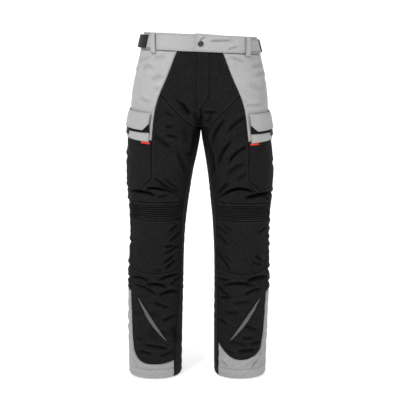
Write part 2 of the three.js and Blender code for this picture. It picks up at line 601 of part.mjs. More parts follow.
function addReflector(side) {
  const [[x1, down1], [x2, down2]] = REFLECTOR[side];
  const length = Math.hypot(x2 - x1, down2 - down1);
  const across = [(down2 - down1) / length, (x1 - x2) / length];
  const steps = 10;
  const edge = (sign) =>
    Array.from({ length: steps + 1 }, (_, i) => {
      const t = i / steps;
      const half = REFLECTOR_TIP + (REFLECTOR_WIDTH / 2) * Math.sin(Math.PI * t);
      const off = REFLECTOR_BOW[side] * 4 * t * (1 - t) + sign * half;
      const down = mix(down1, down2, t) + off * across[1];
      return { u: uAt(side, mix(x1, x2, t) + off * across[0], down), down };
    });
  const [left, right] = [edge(-1), edge(1)];
  const between = (a, b) => ({ u: mix(a.u, b.u, 0.5), down: mix(a.down, b.down, 0.5) });
  const end = (i) => [left[i], between(left[i], right[i]), right[i]];
  addPanel(`reflector_${side}`, side, "reflector", { top: end(0), bottom: end(steps), left, right }, {
    thick: REFLECTOR_FILM, lift: () => OVER_GAP,
  });
}

// A piece on the band or the rise, which may cross the centre seams: from s1 to s2 round the body and from
// down1 to down2, with its inner face at lift above the cloth.
function addWrap(name, colour, { s, down, count, thick, lift, raise = () => 0, tuck = () => 0 }) {
  const [m, n] = count;
  const layer = (extra) =>
    Array.from({ length: n + 1 }, (_, j) =>
      Array.from({ length: m + 1 }, (_, i) => {
        const [a, b] = [i / m, j / n];
        const place = s(a, b);
        return above(place, mix(down[0], down[1], b) + tuck(a, b), lift(a, b, place) + extra(a, b));
      }),
    );
  return add(name, wallGeometry(layer((a, b) => thick + raise(a, b)), layer(() => 0)), colour);
}

const sAt = (x, down) => (x < 0 ? -uAt("right", -x, down) : uAt("left", x, down));
const BAND_MIDDLE = BAND_HEIGHT / 2;

// The band's pieces end a hair short of the side seams.
const BAND_SEAM = 0.001;
const UNDERLAP = 26; // the right end runs this far past the middle, under the left end
const OVERLAP = -15; // where the left end's edge shows

function addWaistband() {
  const inside = BAND_PROUD - BAND_CLOTH;
  const [short, long] = [SIDE_SEAM - BAND_SEAM, SIDE_SEAM + BAND_SEAM];
  const band = { down: [0, BAND_HEIGHT - 2 * SEAM_GAP], thick: BAND_CLOTH };
  const span = (from, to) => (a) => mix(from, to, a);
  addWrap("waistband_front_right", "grey", {
    ...band, s: span(-short, sAt(UNDERLAP, BAND_MIDDLE)), count: [24, 3], lift: () => inside,
  });
  const [bentFrom, bentTo] = [sAt(UNDERLAP + 3, BAND_MIDDLE), sAt(UNDERLAP + 38, BAND_MIDDLE)];
  addWrap("waistband_front_left", "grey", {
    ...band, s: span(sAt(OVERLAP, BAND_MIDDLE), short), count: [24, 3],
    lift: (a, b, s) => inside + (BAND_CLOTH + LAY_GAP) * (1 - smoothstep(bentFrom, bentTo, s)),
  });
  addWrap("waistband_back", "grey", {
    ...band, s: span(long, 2 - long), count: [16, 3], lift: () => inside,
  });
}

// Belt loops: a strip over the band, standing off it in the middle and stitched down at both ends.
const LOOP_WIDTH = 17;
const LOOP_SPACE = 3.2;
const LOOP_DOWN = [0.5, 59];
const LOOP_X = { right: 136, left: 140 }; // the front loops, from the middle
const LOOP_BACK = 0.7; // the back loops, where they are round a half

function addBeltLoop(name, middleAt, halfTurn) {
  const off = (b) => smoothstep(0, 0.1, b) * (1 - smoothstep(0.78, 0.93, b));
  addWrap(name, "grey", {
    s: (a, b) => middleAt(mix(LOOP_DOWN[0], LOOP_DOWN[1], b)) + mix(-halfTurn, halfTurn, a),
    down: LOOP_DOWN, count: [2, 8], thick: CLOTH,
    lift: (a, b) => BAND_PROUD + LAY_GAP + LOOP_SPACE * off(b),
  });
}

// Waist adjusters: a grey hook-and-loop strap along the band, and a rubber pull tab on its end.
const STRAP_DOWN = [7, 45];
const STRAP_FROM_X = 137; // its front end, from the middle
const STRAP_TO = 0.545; // its back end, round the half
const TAB_DOWN = [8, 46];
const TAB_FROM_X = 152; // the right tab's front end
const TAB_THICK = 2.4;
const TAB_STAND = 5; // how far the right tab's free end stands off

function addAdjusters() {
  const strapTop = BAND_PROUD + OVER_GAP + 2 * LAY_GAP + CLOTH;
  for (const [side, sign] of [["right", -1], ["left", 1]]) {
    const from = uAt(side, STRAP_FROM_X, BAND_MIDDLE);
    addWrap(`adjuster_strap_${side}`, "grey", {
      s: (a) => sign * mix(from, STRAP_TO, a), down: STRAP_DOWN, count: [9, 1], thick: CLOTH,
      lift: () => BAND_PROUD + OVER_GAP,
    });
  }
  // The right tab's free end faces forward and stands off; the left one lies flat at the side.
  addWrap("adjuster_tab_right", "rubber", {
    s: (a) => -mix(uAt("right", TAB_FROM_X, BAND_MIDDLE), 0.52, a), down: TAB_DOWN, count: [6, 2],
    thick: TAB_THICK, lift: (a) => strapTop + TAB_STAND * smoothstep(0.3, 1, a),
  });
  addWrap("adjuster_tab_left", "rubber", {
    s: (a) => mix(0.462, 0.56, a), down: TAB_DOWN, count: [4, 2], thick: TAB_THICK, lift: () => strapTop,
  });
}

// The fly's placket: its free edge lies right of the middle and its stitched edge curves in below.
const FLY_DOWN = [BAND_HEIGHT + 0.4, 212];
const FLY_EDGE = -9;
const FLY_STITCH = 26;

function addFly() {
  const right = (b) => mix(FLY_STITCH, FLY_EDGE + 10, smoothstep(0.72, 1, b) ** 1.5);
  addWrap("fly_placket", "black", {
    s: (a, b) => sAt(mix(FLY_EDGE, right(b), a), mix(FLY_DOWN[0], FLY_DOWN[1], b)), down: FLY_DOWN,
    count: [6, 11], thick: CLOTH, lift: (a, b) => LAY_GAP + 0.9 * smoothstep(0.3, 0.8, b),
  });
}

// Snap button: a domed cap with a rolled rim on a flat washer, square to the band.
const SNAP_RADIUS = 9;
const [SNAP_X, SNAP_DOWN] = [2, 27];
const SNAP_PROFILE = rows(
  ["share", "height"], // share of the radius, and height above the band
  [
    [0, 0], [1, 0], [1, 0.8], [0.93, 1.9], [0.82, 2.3],
    [0.73, 1.9], [0.68, 1.9], [0.53, 2.6], [0.28, 3.1], [0, 3.2],
  ],
);

function addSnap() {
  const profile = SNAP_PROFILE.map((p) => new THREE.Vector2(p.share * SNAP_RADIUS, p.height));
  const geometry = new THREE.LatheGeometry(profile, 20);
  const s = sAt(SNAP_X, SNAP_DOWN);
  const height = BAND_PROUD + BAND_CLOTH + 2 * LAY_GAP + 0.4;
  const [foot, tip] = [above(s, SNAP_DOWN, height), above(s, SNAP_DOWN, height + 10)];
  const snap = add("snap_button", geometry, "metal");
  snap.position.copy(foot);
  snap.quaternion.setFromUnitVectors(new THREE.Vector3(0, 1, 0), tip.sub(foot).normalize());
}

for (const side of ["right", "left"]) addHalf(side);
addWaistband();
addFly();
addSnap();
addAdjusters();
// Half a loop's width as a share of the way round, where the loop stands.
function loopTurn(side, u) {
  const step = 0.01;
  const [before, after] = [bodyPoint(side, u - step, BAND_MIDDLE), bodyPoint(side, u + step, BAND_MIDDLE)];
  return (LOOP_WIDTH * step) / after.distanceTo(before);
}
for (const side of ["right", "left"]) {
  const sign = side === "right" ? -1 : 1;
  const frontAt = (down) => sign * uAt(side, LOOP_X[side], down);
  addBeltLoop(`belt_loop_front_${side}`, frontAt, loopTurn(side, Math.abs(frontAt(BAND_MIDDLE))));
  addBeltLoop(`belt_loop_back_${side}`, () => sign * LOOP_BACK, loopTurn(side, LOOP_BACK));
}
addBeltLoop("belt_loop_centre_back", () => 1, loopTurn("left", 0.985));

export default trousers;
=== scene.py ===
# %% [markdown]
# # Textile touring trousers
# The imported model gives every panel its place: a thin wall between four seams. Here each wall becomes
# cloth. It is smoothed, creased, puckered along its seams, topstitched and woven.
# The wearer's left is +X, the front faces -Y, and the origin is the middle of the waistband's opening.

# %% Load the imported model
import math

import bmesh
import bpy
import numpy as np
from mathutils import Matrix, Vector, noise
from mathutils.bvhtree import BVHTree
from mathutils.kdtree import KDTree


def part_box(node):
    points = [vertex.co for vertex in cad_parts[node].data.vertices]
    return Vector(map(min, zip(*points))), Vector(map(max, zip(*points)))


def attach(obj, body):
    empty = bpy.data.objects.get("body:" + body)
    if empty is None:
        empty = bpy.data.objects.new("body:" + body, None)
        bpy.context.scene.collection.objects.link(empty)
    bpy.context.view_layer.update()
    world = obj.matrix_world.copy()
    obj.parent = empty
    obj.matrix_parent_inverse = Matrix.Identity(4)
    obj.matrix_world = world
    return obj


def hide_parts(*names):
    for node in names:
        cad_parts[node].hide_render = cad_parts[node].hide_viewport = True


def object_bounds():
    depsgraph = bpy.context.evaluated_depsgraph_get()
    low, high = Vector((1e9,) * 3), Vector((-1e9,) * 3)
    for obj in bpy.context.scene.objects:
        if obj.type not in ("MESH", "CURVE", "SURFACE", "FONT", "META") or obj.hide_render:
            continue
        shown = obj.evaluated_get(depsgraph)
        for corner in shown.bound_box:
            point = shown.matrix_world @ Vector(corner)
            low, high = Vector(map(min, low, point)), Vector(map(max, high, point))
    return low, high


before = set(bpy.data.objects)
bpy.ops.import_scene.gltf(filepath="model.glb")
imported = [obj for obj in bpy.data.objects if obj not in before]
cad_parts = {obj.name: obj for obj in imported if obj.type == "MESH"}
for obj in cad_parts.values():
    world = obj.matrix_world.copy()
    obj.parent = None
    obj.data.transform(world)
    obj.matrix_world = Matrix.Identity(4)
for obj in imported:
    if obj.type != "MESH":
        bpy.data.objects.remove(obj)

CAD_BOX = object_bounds()
WAIST_TOP = 0.025  # the waistband's top edge, metres above the origin
HEM = 1.056  # how far the hem lies below it
SIDES = ("right", "left")
print("nodes:", len(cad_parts), "height:", round(CAD_BOX[1][2] - CAD_BOX[0][2], 3))

# %% Small helpers
def add_object(name, data):
    made = bpy.data.objects.new(name, data)
    bpy.context.scene.collection.objects.link(made)
    return made


def mesh_from(bm, name):
    mesh = bpy.data.meshes.new(name)
    bm.to_mesh(mesh)
    bm.free()
    return mesh


def smooth_shading(mesh):
    mesh.polygons.foreach_set("use_smooth", [True] * len(mesh.polygons))


def give_finish(piece, finish):
    piece.data.materials.clear()
    piece.data.materials.append(finish)


def fade(low, high, values):
    """0 below low, 1 above high, and a smooth rise between."""
    t = np.clip((values - low) / (high - low), 0, 1)
    return t * t * (3 - 2 * t)


def bell(values, centre, width):
    """A smooth rise to 1 at the centre."""
    return np.exp(-(((values - centre) / width) ** 2))


# %% [markdown]
# ## Camera
# The picture was taken from about 3 m away, level with the waistband's top edge and looking a little down, so
# the waist's edge is seen level and the hems from above. A long lens keeps the legs nearly parallel.

# %% Camera
DISTANCE = 3.10
EYE_LEVEL = 0.031  # the camera's height, just over the waistband's top edge
AIM_DOWN = 0.512  # the aim lies this far below the camera
pitch = math.asin(AIM_DOWN / DISTANCE)
camera = add_object("camera", bpy.data.cameras.new("camera"))
camera.data.lens = 90
camera.location = (0, -DISTANCE * math.cos(pitch), EYE_LEVEL)
camera.rotation_euler = (math.pi / 2 - pitch, 0, 0)
bpy.context.scene.camera = camera
bpy.context.scene.view_settings.view_transform = "Standard"  # a white surround stays white
print("camera looks down by", round(math.degrees(pitch), 2), "degrees")

# %% [markdown]
# ## Shader maths
# A finish is built from nodes. Wrapping a socket in a small class lets a mask or a height be written as
# plain arithmetic, and each operator adds one Math node.

# %% A wrapped socket, and a finish that makes nodes
class Reading:
    """A number that varies over a surface. Arithmetic on it adds Math nodes."""

    def __init__(self, finish, socket):
        self.finish, self.socket = finish, socket

    def maths(self, operation, *values):
        return self.finish.node("ShaderNodeMath", {"operation": operation}, dict(enumerate(values)))

    def __add__(self, other):
        return self.maths("ADD", self, other)

    def __sub__(self, other):
        return self.maths("SUBTRACT", self, other)

    def __mul__(self, other):
        return self.maths("MULTIPLY", self, other)

    def sine(self):
        return self.maths("SINE", self)

    def output(self, name):
        return Reading(self.finish, self.socket.node.outputs[name])


class Finish:
    """A material whose nodes are made by node(), and whose shader sockets are set by set()."""

    def __init__(self, name, **constants):
        self.material = bpy.data.materials.new(name)
        self.material.use_nodes = True
        self.tree = self.material.node_tree
        self.shader = self.tree.nodes["Principled BSDF"]
        self.set(**constants)

    def node(self, kind, settings=None, inputs=None, output=0):
        made = self.tree.nodes.new(kind)
        for key, value in (settings or {}).items():
            if key == "stops":
                for stop, (at, colour) in zip(made.color_ramp.elements, value):
                    stop.position, stop.color = at, colour
            else:
                setattr(made, key, value)
        for key, value in (inputs or {}).items():
            self.join(made.inputs[key], value)
        return Reading(self, made.outputs[output])

    def join(self, socket, value):
        if isinstance(value, Reading):
            self.tree.links.new(value.socket, socket)
        else:
            socket.default_value = value

    def set(self, **values):
        for key, value in values.items():
            self.join(self.shader.inputs[key.replace("_", " ")], value)

    def bump(self, height, strength, distance):
        return self.node("ShaderNodeBump", None, {"Strength": strength, "Distance": distance, "Height": height})


# %% [markdown]
# ## Woven cloth
# Both the black and the pale cloth are a stout plain weave. Warp and weft are two waves on the piece's own
# UV map, which follows the leg, so the threads turn with it. Soft patches vary the shade as real yarn does,
# and a nap catches light at grazing angles.

# %% Cloth finishes
THREAD_PITCH = 0.0011
PATCH_SCALE, YARN_SCALE = 9.0, 230.0
WEAVE_STRENGTH, WEAVE_HEIGHT = 0.35, 0.0004


def grey(value):
    return (value, value, value, 1)


def tinted(value, warm):
    return (value * (1 + warm), value, value * (1 - warm), 1)


def cloth_finish(name, dark, light, sheen, melange, depth):
    """melange is how much single yarns differ in shade, and depth how strongly the painted shade and highlights of
    folds and seams change the colour.
    """
    finish = Finish(name, Sheen_Weight=sheen, Sheen_Roughness=0.5, Specular_IOR_Level=0.12)
    uv = finish.node("ShaderNodeUVMap", {"uv_map": "cloth"})
    parts = finish.node("ShaderNodeSeparateXYZ", None, {0: uv})
    turn = 2 * math.pi / THREAD_PITCH
    height = (parts.output("X") * turn).sine() * (parts.output("Y") * turn).sine()
    place = finish.node("ShaderNodeTexCoord", None, None, "Object")
    patches = finish.node(
        "ShaderNodeTexNoise", None, {"Vector": place, "Scale": PATCH_SCALE, "Detail": 4.0, "Roughness": 0.55}
    )
    yarn = finish.node(
        "ShaderNodeTexNoise", None, {"Vector": place, "Scale": YARN_SCALE, "Detail": 3.0, "Roughness": 0.65}
    )
    shade = patches * 0.45 + (yarn - 0.5) * melange + height * 0.05 + 0.2
    ramp = finish.node("ShaderNodeValToRGB", {"stops": [(0.2, dark), (0.65, light)]}, {0: shade})
    # The attribute holds painted shade and highlight: darker in fold troughs, seams, grooves and recesses, lighter on
    # fold lips and rib crests.
    painted_shade = finish.node("ShaderNodeAttribute", {"attribute_name": "painted_shade"}, None, "Fac")
    creased = finish.node("ShaderNodeVectorMath", {"operation": "SCALE"}, {0: ramp, "Scale": painted_shade * depth + 1.0})
    bumps = finish.bump(height + yarn * 0.8, WEAVE_STRENGTH, WEAVE_HEIGHT)
    finish.set(Base_Color=creased, Roughness=patches * 0.16 + 0.76, Normal=bumps)
    return finish.material


BLACK = cloth_finish("black_cloth", tinted(0.0045, -0.02), tinted(0.0118, -0.02), 0.0, melange=1.8, depth=0.88)
PALE = cloth_finish("pale_cloth", tinted(0.35, 0.004), tinted(0.45, 0.004), 0.05, melange=1.0, depth=0.45)
HEM_PALE = cloth_finish("hem_pale_cloth", tinted(0.28, 0.004), tinted(0.37, 0.004), 0.05, melange=1.0, depth=0.45)
RED = cloth_finish("red_cloth", (0.58, 0.035, 0.025, 1), (0.74, 0.055, 0.035, 1), 0.12, melange=0.8, depth=0.4)
print("cloth finishes:", [m.name for m in bpy.data.materials])

# %% [markdown]
# Thread is a twisted yarn, a little glossier than the cloth. The reflective slivers are a ribbed film, the
# tabs are moulded rubber, and the snap is metal with a dark plating, brushed round by wear.

# %% Finishes of the small pieces
def plain_finish(name, dark, light, scale, rough, bump=0.2, **constants):
    finish = Finish(name, **constants)
    place = finish.node("ShaderNodeTexCoord", None, None, "Object")
    grain = finish.node("ShaderNodeTexNoise", None, {"Vector": place, "Scale": scale, "Detail": 3.0})
    ramp = finish.node("ShaderNodeValToRGB", {"stops": [(0.3, dark), (0.7, light)]}, {0: grain})
    finish.set(Base_Color=ramp, Roughness=grain * 0.2 + rough, Normal=finish.bump(grain, bump, 0.0003))
    return finish.material


THREAD_BLACK = plain_finish("black_thread", grey(0.008), grey(0.018), 900, 0.6, 0.3)
THREAD_PALE = plain_finish("pale_thread", grey(0.30), grey(0.42), 900, 0.5, 0.3)
RUBBER = plain_finish("tab_rubber", grey(0.008), grey(0.013), 500, 0.55, 0.1, Specular_IOR_Level=0.25)
METAL = plain_finish("dark_metal", grey(0.05), grey(0.085), 260, 0.2, 0.08, Metallic=0.9)


def reflective_finish():
    finish = Finish("reflective_film", Specular_IOR_Level=0.7)
    place = finish.node("ShaderNodeTexCoord", None, None, "Object")
    cells = finish.node("ShaderNodeTexVoronoi", None, {"Vector": place, "Scale": 700.0})
    ramp = finish.node("ShaderNodeValToRGB", {"stops": [(0.1, grey(0.045)), (0.6, grey(0.07))]}, {0: cells})
    finish.set(Base_Color=ramp, Roughness=cells * 0.2 + 0.34, Normal=finish.bump(cells, 0.25, 0.0002))
    return finish.material


FILM = reflective_finish()

# %% [markdown]
# ## Panels of cloth
# A packed wall has an outer side, an inner side and a rim. A ray that goes in from a face of either side meets
# the other side at once, and one from the rim doesn't. The faces of the sides are sorted into parts that hang
# together, and a part that looks away from the leg's middle is kept. A deep fold can turn a few faces away
# from the rest, so the kept part grows over them as far as the rim. The triangles are then joined to
# four-sided faces again and smoothed, and the cloth's thickness comes back last.

# %% The middle line of each leg
LEG = {  # drop below the waistband's top, then x and y of the leg's middle
    "right": [(0, -0.085, 0), (0.29, -0.11, 0.004), (0.5, -0.128, -0.01), (0.7, -0.136, 0.004), (1.06, -0.142, 0.001)],
    "left": [(0, 0.085, 0), (0.29, 0.11, 0.004), (0.5, 0.127, -0.01), (0.7, 0.131, 0.004), (1.06, 0.127, 0.001)],
}


def middle(side, points):
    table = np.array(LEG[side])
    drop = WAIST_TOP - points[:, 2]
    return np.stack([np.interp(drop, table[:, 0], table[:, k]) for k in (1, 2)], axis=1)


def side_of(name):
    return "right" if name.endswith("right") else "left"


# %% Keep a wall's outer side
MERGE = 2e-5  # points nearer than this are one
WALL_REACH = 2.6  # a side's face has the other side within this many walls
SAME_SIDE_BEND, FOLD_BEND = 1.0, 1.1  # radians between two faces of one side, and of one fold
SMALLEST_PART = 0.1  # of the largest part, by number of faces


def away_from_middle(name, centre):
    """Points outwards at a place on the piece. What crosses the middle of the body has no leg of its own."""
    if "waistband" in name or "fly" in name or "loop" in name:
        return Vector((centre.x * 0.4, centre.y, 0))
    point = np.array([centre])
    return Vector((*(point[0, :2] - middle(side_of(name), point)[0]), 0))


def connected(faces, bend=math.pi):
    """Splits a set of faces into parts that hang together over edges that turn less than bend."""
    left, parts = set(faces), []
    while left:
        stack, part = [left.pop()], []
        while stack:
            face = stack.pop()
            part.append(face)
            for edge in face.edges:
                for other in edge.link_faces:
                    if other in left and face.normal.angle(other.normal, 0) < bend:
                        left.remove(other)
                        stack.append(other)
        parts.append(part)
    return sorted(parts, key=len)


def outer_face(name, thickness):
    bm = bmesh.new()
    bm.from_mesh(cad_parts[name].data)
    bmesh.ops.remove_doubles(bm, verts=bm.verts, dist=MERGE)
    bm.normal_update()
    tree = BVHTree.FromBMesh(bm)
    thin = []
    for face in bm.faces:
        hit = tree.ray_cast(face.calc_center_median() - face.normal * 1e-5, -face.normal)
        if hit[0] is not None and hit[3] <= WALL_REACH * thickness:
            thin.append(face)
    kept, inner = set(), set()
    parts = connected(thin, SAME_SIDE_BEND)
    for part in parts:
        if len(part) < len(parts[-1]) * SMALLEST_PART:
            continue
        turned = sum(f.calc_area() * f.normal.dot(away_from_middle(name, f.calc_center_median())) for f in part)
        if turned > 0:
            kept.update(part)
        else:
            inner.update(v for f in part for v in f.verts)
    grow_over_folds(kept, inner)
    bmesh.ops.delete(bm, geom=[f for f in bm.faces if f not in kept], context="FACES")
    stray = [f for part in connected(bm.faces)[:-1] for f in part]
    bmesh.ops.delete(bm, geom=stray, context="FACES")
    bmesh.ops.join_triangles(
        bm, faces=bm.faces, angle_face_threshold=math.pi, angle_shape_threshold=math.pi, topology_influence=0.6
    )
    return bm


def grow_over_folds(kept, inner):
    """Adds the faces that a fold has turned away. Every face of the rim has a point of the inner side."""
    reach = list(kept)
    while reach:
        face = reach.pop()
        for edge in face.edges:
            for other in edge.link_faces:
                turned = face.normal.angle(other.normal, math.pi)
                if other not in kept and turned < FOLD_BEND and not inner.intersection(other.verts):
                    kept.add(other)
                    reach.append(other)


# %% Smooth a piece, with its corners and grooves kept sharp
CORNER = math.radians(152)  # the two sides of a corner meet at less than this
GROOVE_BEND = 0.25  # radians between the faces beside a groove
GROOVE_DEPTH = 0.0018


def keep_corners(bm):
    """Marks the points where a panel's edge turns, so that smoothing leaves them sharp."""
    layer = bm.verts.layers.float.get("crease_vert") or bm.verts.layers.float.new("crease_vert")
    for vert in bm.verts:
        rim = [e.other_vert(vert).co - vert.co for e in vert.link_edges if e.is_boundary]
        if len(rim) == 2 and rim[0].angle(rim[1], math.pi) < CORNER:
            vert[layer] = 1.0


def deepen_grooves(bm):
    """Sinks the lines where a ribbed panel bends inwards, keeps them sharp, and marks their points."""
    layer = bm.edges.layers.float.get("crease_edge") or bm.edges.layers.float.new("crease_edge")
    mark = bm.verts.layers.float.new("groove")
    bm.normal_update()
    sunk = {}
    for edge in bm.edges:
        if len(edge.link_faces) == 2 and abs(edge.calc_face_angle_signed()) > GROOVE_BEND:
            inwards = sum((f.calc_center_median() - edge.verts[0].co for f in edge.link_faces), Vector())
            normal = edge.link_faces[0].normal + edge.link_faces[1].normal
            if inwards.dot(normal) > 0:
                edge[layer] = 1.0
                for vert in edge.verts:
                    sunk[vert] = normal
    for vert, normal in sunk.items():
        vert.co -= normal.normalized() * GROOVE_DEPTH
        vert[mark] = 1.0


def smoothed(bm, name, levels):
    """The mesh after Catmull-Clark smoothing, as a new object whose edges stay where they were."""
    keep_corners(bm)
    if "ribs" in name:
        deepen_grooves(bm)
    mesh = mesh_from(bm, name)
    rough = add_object(name, mesh)
    modifier = rough.modifiers.new("smooth", "SUBSURF")
    modifier.levels = modifier.render_levels = levels
    modifier.boundary_smooth = "PRESERVE_CORNERS"
    graph = bpy.context.evaluated_depsgraph_get()
    fine = bpy.data.meshes.new_from_object(rough.evaluated_get(graph))
    rough.modifiers.clear()
    rough.data = fine
    bpy.data.meshes.remove(mesh)
    return rough


# %% The table of panels
PANEL_WALL, PANEL_THICK = 0.0018, 0.0012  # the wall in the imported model, and the cloth
PANELS = [  # name, finish, smoothing levels
    ("front_centre", BLACK, 3),
    ("thigh_front", BLACK, 3),
    ("side_panel", BLACK, 3),
    ("knee_cap", BLACK, 3),
    ("knee_ribs", BLACK, 3),
    ("knee_pad_panel", BLACK, 3),
    ("shin_panel", BLACK, 3),
    ("inner_leg", BLACK, 2),
    ("back_upper", BLACK, 2),
    ("back_lower", BLACK, 2),
    ("hip_panel", PALE, 3),
    ("gaiter", HEM_PALE, 2),
]
cloth = {}
for base, finish, levels in PANELS:
    for side in SIDES:
        name = f"{base}_{side}"
        cloth[name] = smoothed(outer_face(name, PANEL_WALL), f"{name}_cloth", levels)
        give_finish(cloth[name], finish)
print("panels:", len(cloth), "faces:", sum(len(p.data.polygons) for p in cloth.values()))

# %% [markdown]
# ## Folds
# Folds gather where the cloth is slack: above the knee ribs, under the knee pad, at the crotch and above the
# hem. Each is a trough with a full lip above it and a lower one below, drawn between two points of the front
# and fading at its ends. Hidden sides get their own, since cloth that buckles in front buckles behind the knee too.

# %% The table of folds
FRONT_FOLDS = [  # x and drop below eye level of both ends, bow, half width, depth, all in millimetres
    (-53, 206, -29, 239, 0, 7, 6.5),
    (-70, 195, -50, 209, 0, 6, 3),
    (-100, 298, -68, 308, 0, 5, 4.4),
    (-103, 273, -80, 275, 0, 5, 3.6),
    (-100, 230, -82, 243, 0, 6, 3.6),
    (-133, 302, -89, 338, 0, 8, 3.4),
    (-42, 359, -24, 356, 0, 5, 3),
    (-66, 354, -42, 412, 0, 7, 3.8),
    (-137, 428, -66, 480, 0, 5, 4.8),
    (-105, 431, -63, 471, 0, 5, 3.0),
    (-131, 443, -84, 475, 0, 5, 2.4),
    (-210, 473, -136, 481, 6, 5.5, 7.5),
    (-160, 462, -99, 471, 7, 5, 5.5),
    (-129, 489, -94, 478, 0, 5, 3.5),
    (-95, 594, -67, 574, 0, 4.5, 6),
    (-91, 625, -63, 601, 0, 4.5, 6.5),
    (-109, 642, -76, 641, 0, 5, 5.2),
    (-110, 665, -64, 642, 0, 4.5, 5),
    (-110, 693, -80, 671, 0, 5, 5.8),
    (-104, 711, -77, 687, 0, 5, 6.6),
    (-137, 718, -116, 715, 0, 5, 3.2),
    (-129, 750, -68, 735, 5, 5, 5.5),
    (-92, 765, -65, 745, 0, 5, 4.5),
    (-215, 748, -157, 753, 9, 5, 5.5),
    (-166, 765, -101, 772, 8, 6, 7),
    (-201, 765, -135, 794, 6, 5, 5.5),
    (-126, 797, -71, 788, 6, 6, 6),
    (-138, 820, -96, 838, 0, 6, 4.8),
    (-114, 878, -77, 863, 0, 5.5, 4.6),
    (-196, 933, -177, 941, 0, 5, 3.6),
    (-171, 953, -99, 968, 0, 6, 5.8),
    (-190, 976, -149, 983, 0, 5.5, 4.4),
    (-154, 906, -87, 922, 0, 8, 2.6),
    (-185, 843, -129, 861, 0, 8, 2.4),
    (12, 233, 47, 231, 0, 6, 4.6),
    (15, 266, 35, 239, 0, 6, 3.4),
    (18, 301, 36, 363, -2, 5.5, 5),
    (36, 326, 76, 251, 7, 6, 4.6),
    (54, 392, 92, 318, 6, 6, 6),
    (86, 383, 139, 333, 7, 6, 6),
    (83, 290, 133, 245, 4, 7, 4.6),
    (81, 420, 131, 386, 5, 8, 3.8),
    (51, 482, 84, 444, 0, 6, 4),
    (111, 434, 140, 416, 0, 7, 3.2),
    (66, 486, 159, 471, 17, 5.5, 8),
    (135, 490, 215, 479, 4, 6.5, 8.5),
    (190, 486, 214, 498, 0, 5, 3.6),
    (52, 584, 85, 603, 0, 5, 3.2),
    (55, 606, 82, 638, 0, 5, 4.6),
    (76, 579, 97, 592, 0, 5, 2.6),
    (56, 665, 92, 717, 0, 5, 5),
    (71, 670, 95, 691, 0, 5, 3.2),
    (56, 749, 87, 751, 0, 5, 4),
    (71, 770, 166, 767, 10, 6, 7),
    (142, 753, 206, 744, 7, 6.5, 7.5),
    (58, 771, 92, 797, -6, 5, 4.6),
    (138, 795, 188, 779, 6, 5.5, 5),
    (61, 810, 95, 803, 0, 5, 4.6),
    (168, 669, 190, 691, 0, 6, 4.2),
    (159, 690, 190, 703, 0, 6, 3.8),
    (176, 600, 202, 583, 0, 6, 3.2),
    (74, 853, 119, 852, 0, 7, 3.8),
    (59, 876, 83, 891, 0, 5.5, 4),
    (141, 895, 175, 909, 0, 6.5, 4.2),
    (64, 1008, 84, 1025, 0, 5, 2.4),
    (160, 1022, 180, 1010, 0, 5, 2.4),
    (87, 942, 145, 957, 0, 8, 2.6),
    (99, 825, 154, 814, 0, 7, 3),
    (-158, 915, -136, 934, 0, 7, 2.6),
    (-126, 990, -83, 979, 0, 6.5, 3.8),
    (-87, 897, -69, 953, 0, 11, 3),
    (-208, 857, -183, 858, 0, 6, 2.4),
    (130, 934, 161, 933, 0, 5.5, 4.2),
    (157, 954, 185, 947, 0, 5.5, 4.2),
    (117, 974, 171, 972, 0, 6.5, 5),
    (80, 975, 103, 979, 0, 6, 3),
    (35, 354, 42, 409, 0, 7, 3.2),
    (29, 26, 93, 23, 0, 4.5, 3),
    (0, 25, 16, 15, 0, 4, 2.4),
    (80, 50, 111, 40, 0, 4, 2.2),
    (-169, 106, -138, 101, 6, 9, 1.8),
    (-135, 74, -102, 67, 0, 9, 1.6),
    (-141, 137, -111, 124, 0, 9, 1.6),
    (-138, 163, -114, 160, 0, 9, 1.4),
    (-184, 82, -147, 72, 0, 10.5, 1.3),
    (90, 70, 132, 86, 0, 6, 2),
    (155, 100, 194, 90, 0, 9, 1.6),
    (165, 124, 193, 114, 0, 7.5, 1.6),
    (147, 149, 188, 169, 0, 10.5, 1.4),
    (105, 186, 138, 204, 0, 7, 1.4),
    (-178, 192, -147, 202, 0, 7, 1.6),
    (135, 213, 185, 210, 0, 6, 1.8),
    (159, 1031, 195, 984, 0, 4, 2),
    (140, 1024, 177, 995, 0, 4, 1.8),
    (-211, 1005, -191, 1031, 0, 5, 1.6),
    (-124, 1021, -90, 1011, 0, 5, 1.6),
]
SIDE_FOLDS = {  # the outside of each leg: y takes the place of x
    "right": [
        (-30, 470, 34, 482, 6, 7, 4.6), (-22, 512, 40, 500, -4, 7, 3.8), (-8, 560, 44, 574, 3, 8, 3.2),
        (-36, 640, 20, 652, 4, 8, 3.0), (-20, 716, 46, 704, -4, 7, 3.6), (-40, 752, 24, 764, 4, 6, 4.6),
        (-28, 372, 30, 388, 4, 9, 2.6), (-20, 120, 42, 134, 4, 9, 2.2), (-14, 900, 42, 912, 3, 8, 2.4),
    ],
    "left": [
        (-34, 486, 26, 474, -5, 7, 4.6), (-16, 520, 46, 532, 4, 7, 3.8), (-24, 590, 30, 578, 3, 8, 3.0),
        (-10, 662, 44, 650, -4, 8, 3.2), (-38, 726, 22, 738, 4, 7, 3.8), (-18, 768, 44, 756, -4, 6, 4.4),
        (-22, 396, 36, 380, -4, 9, 2.6), (-26, 138, 34, 124, -4, 9, 2.2), (-18, 936, 36, 922, 3, 8, 2.4),
    ],
}
PAINTED_RECESS_SHADE = [  # the same columns: painted shade on cloth between the legs that hardly any light reaches; these only darken and move nothing
    (-18, 230, 3, 284, 0, 9, 8),
    (0, 230, 12, 260, 0, 7, 4.5),
    (-12, 266, -20, 322, 0, 8, 8),
    (-18, 313, -33, 370, 0, 7, 6),
    (18, 279, 30, 324, 0, 6, 3.5),
    (39, 378, 44, 428, 0, 6, 2.6),
    (-50, 279, -39, 326, 0, 10, 2.2),
]
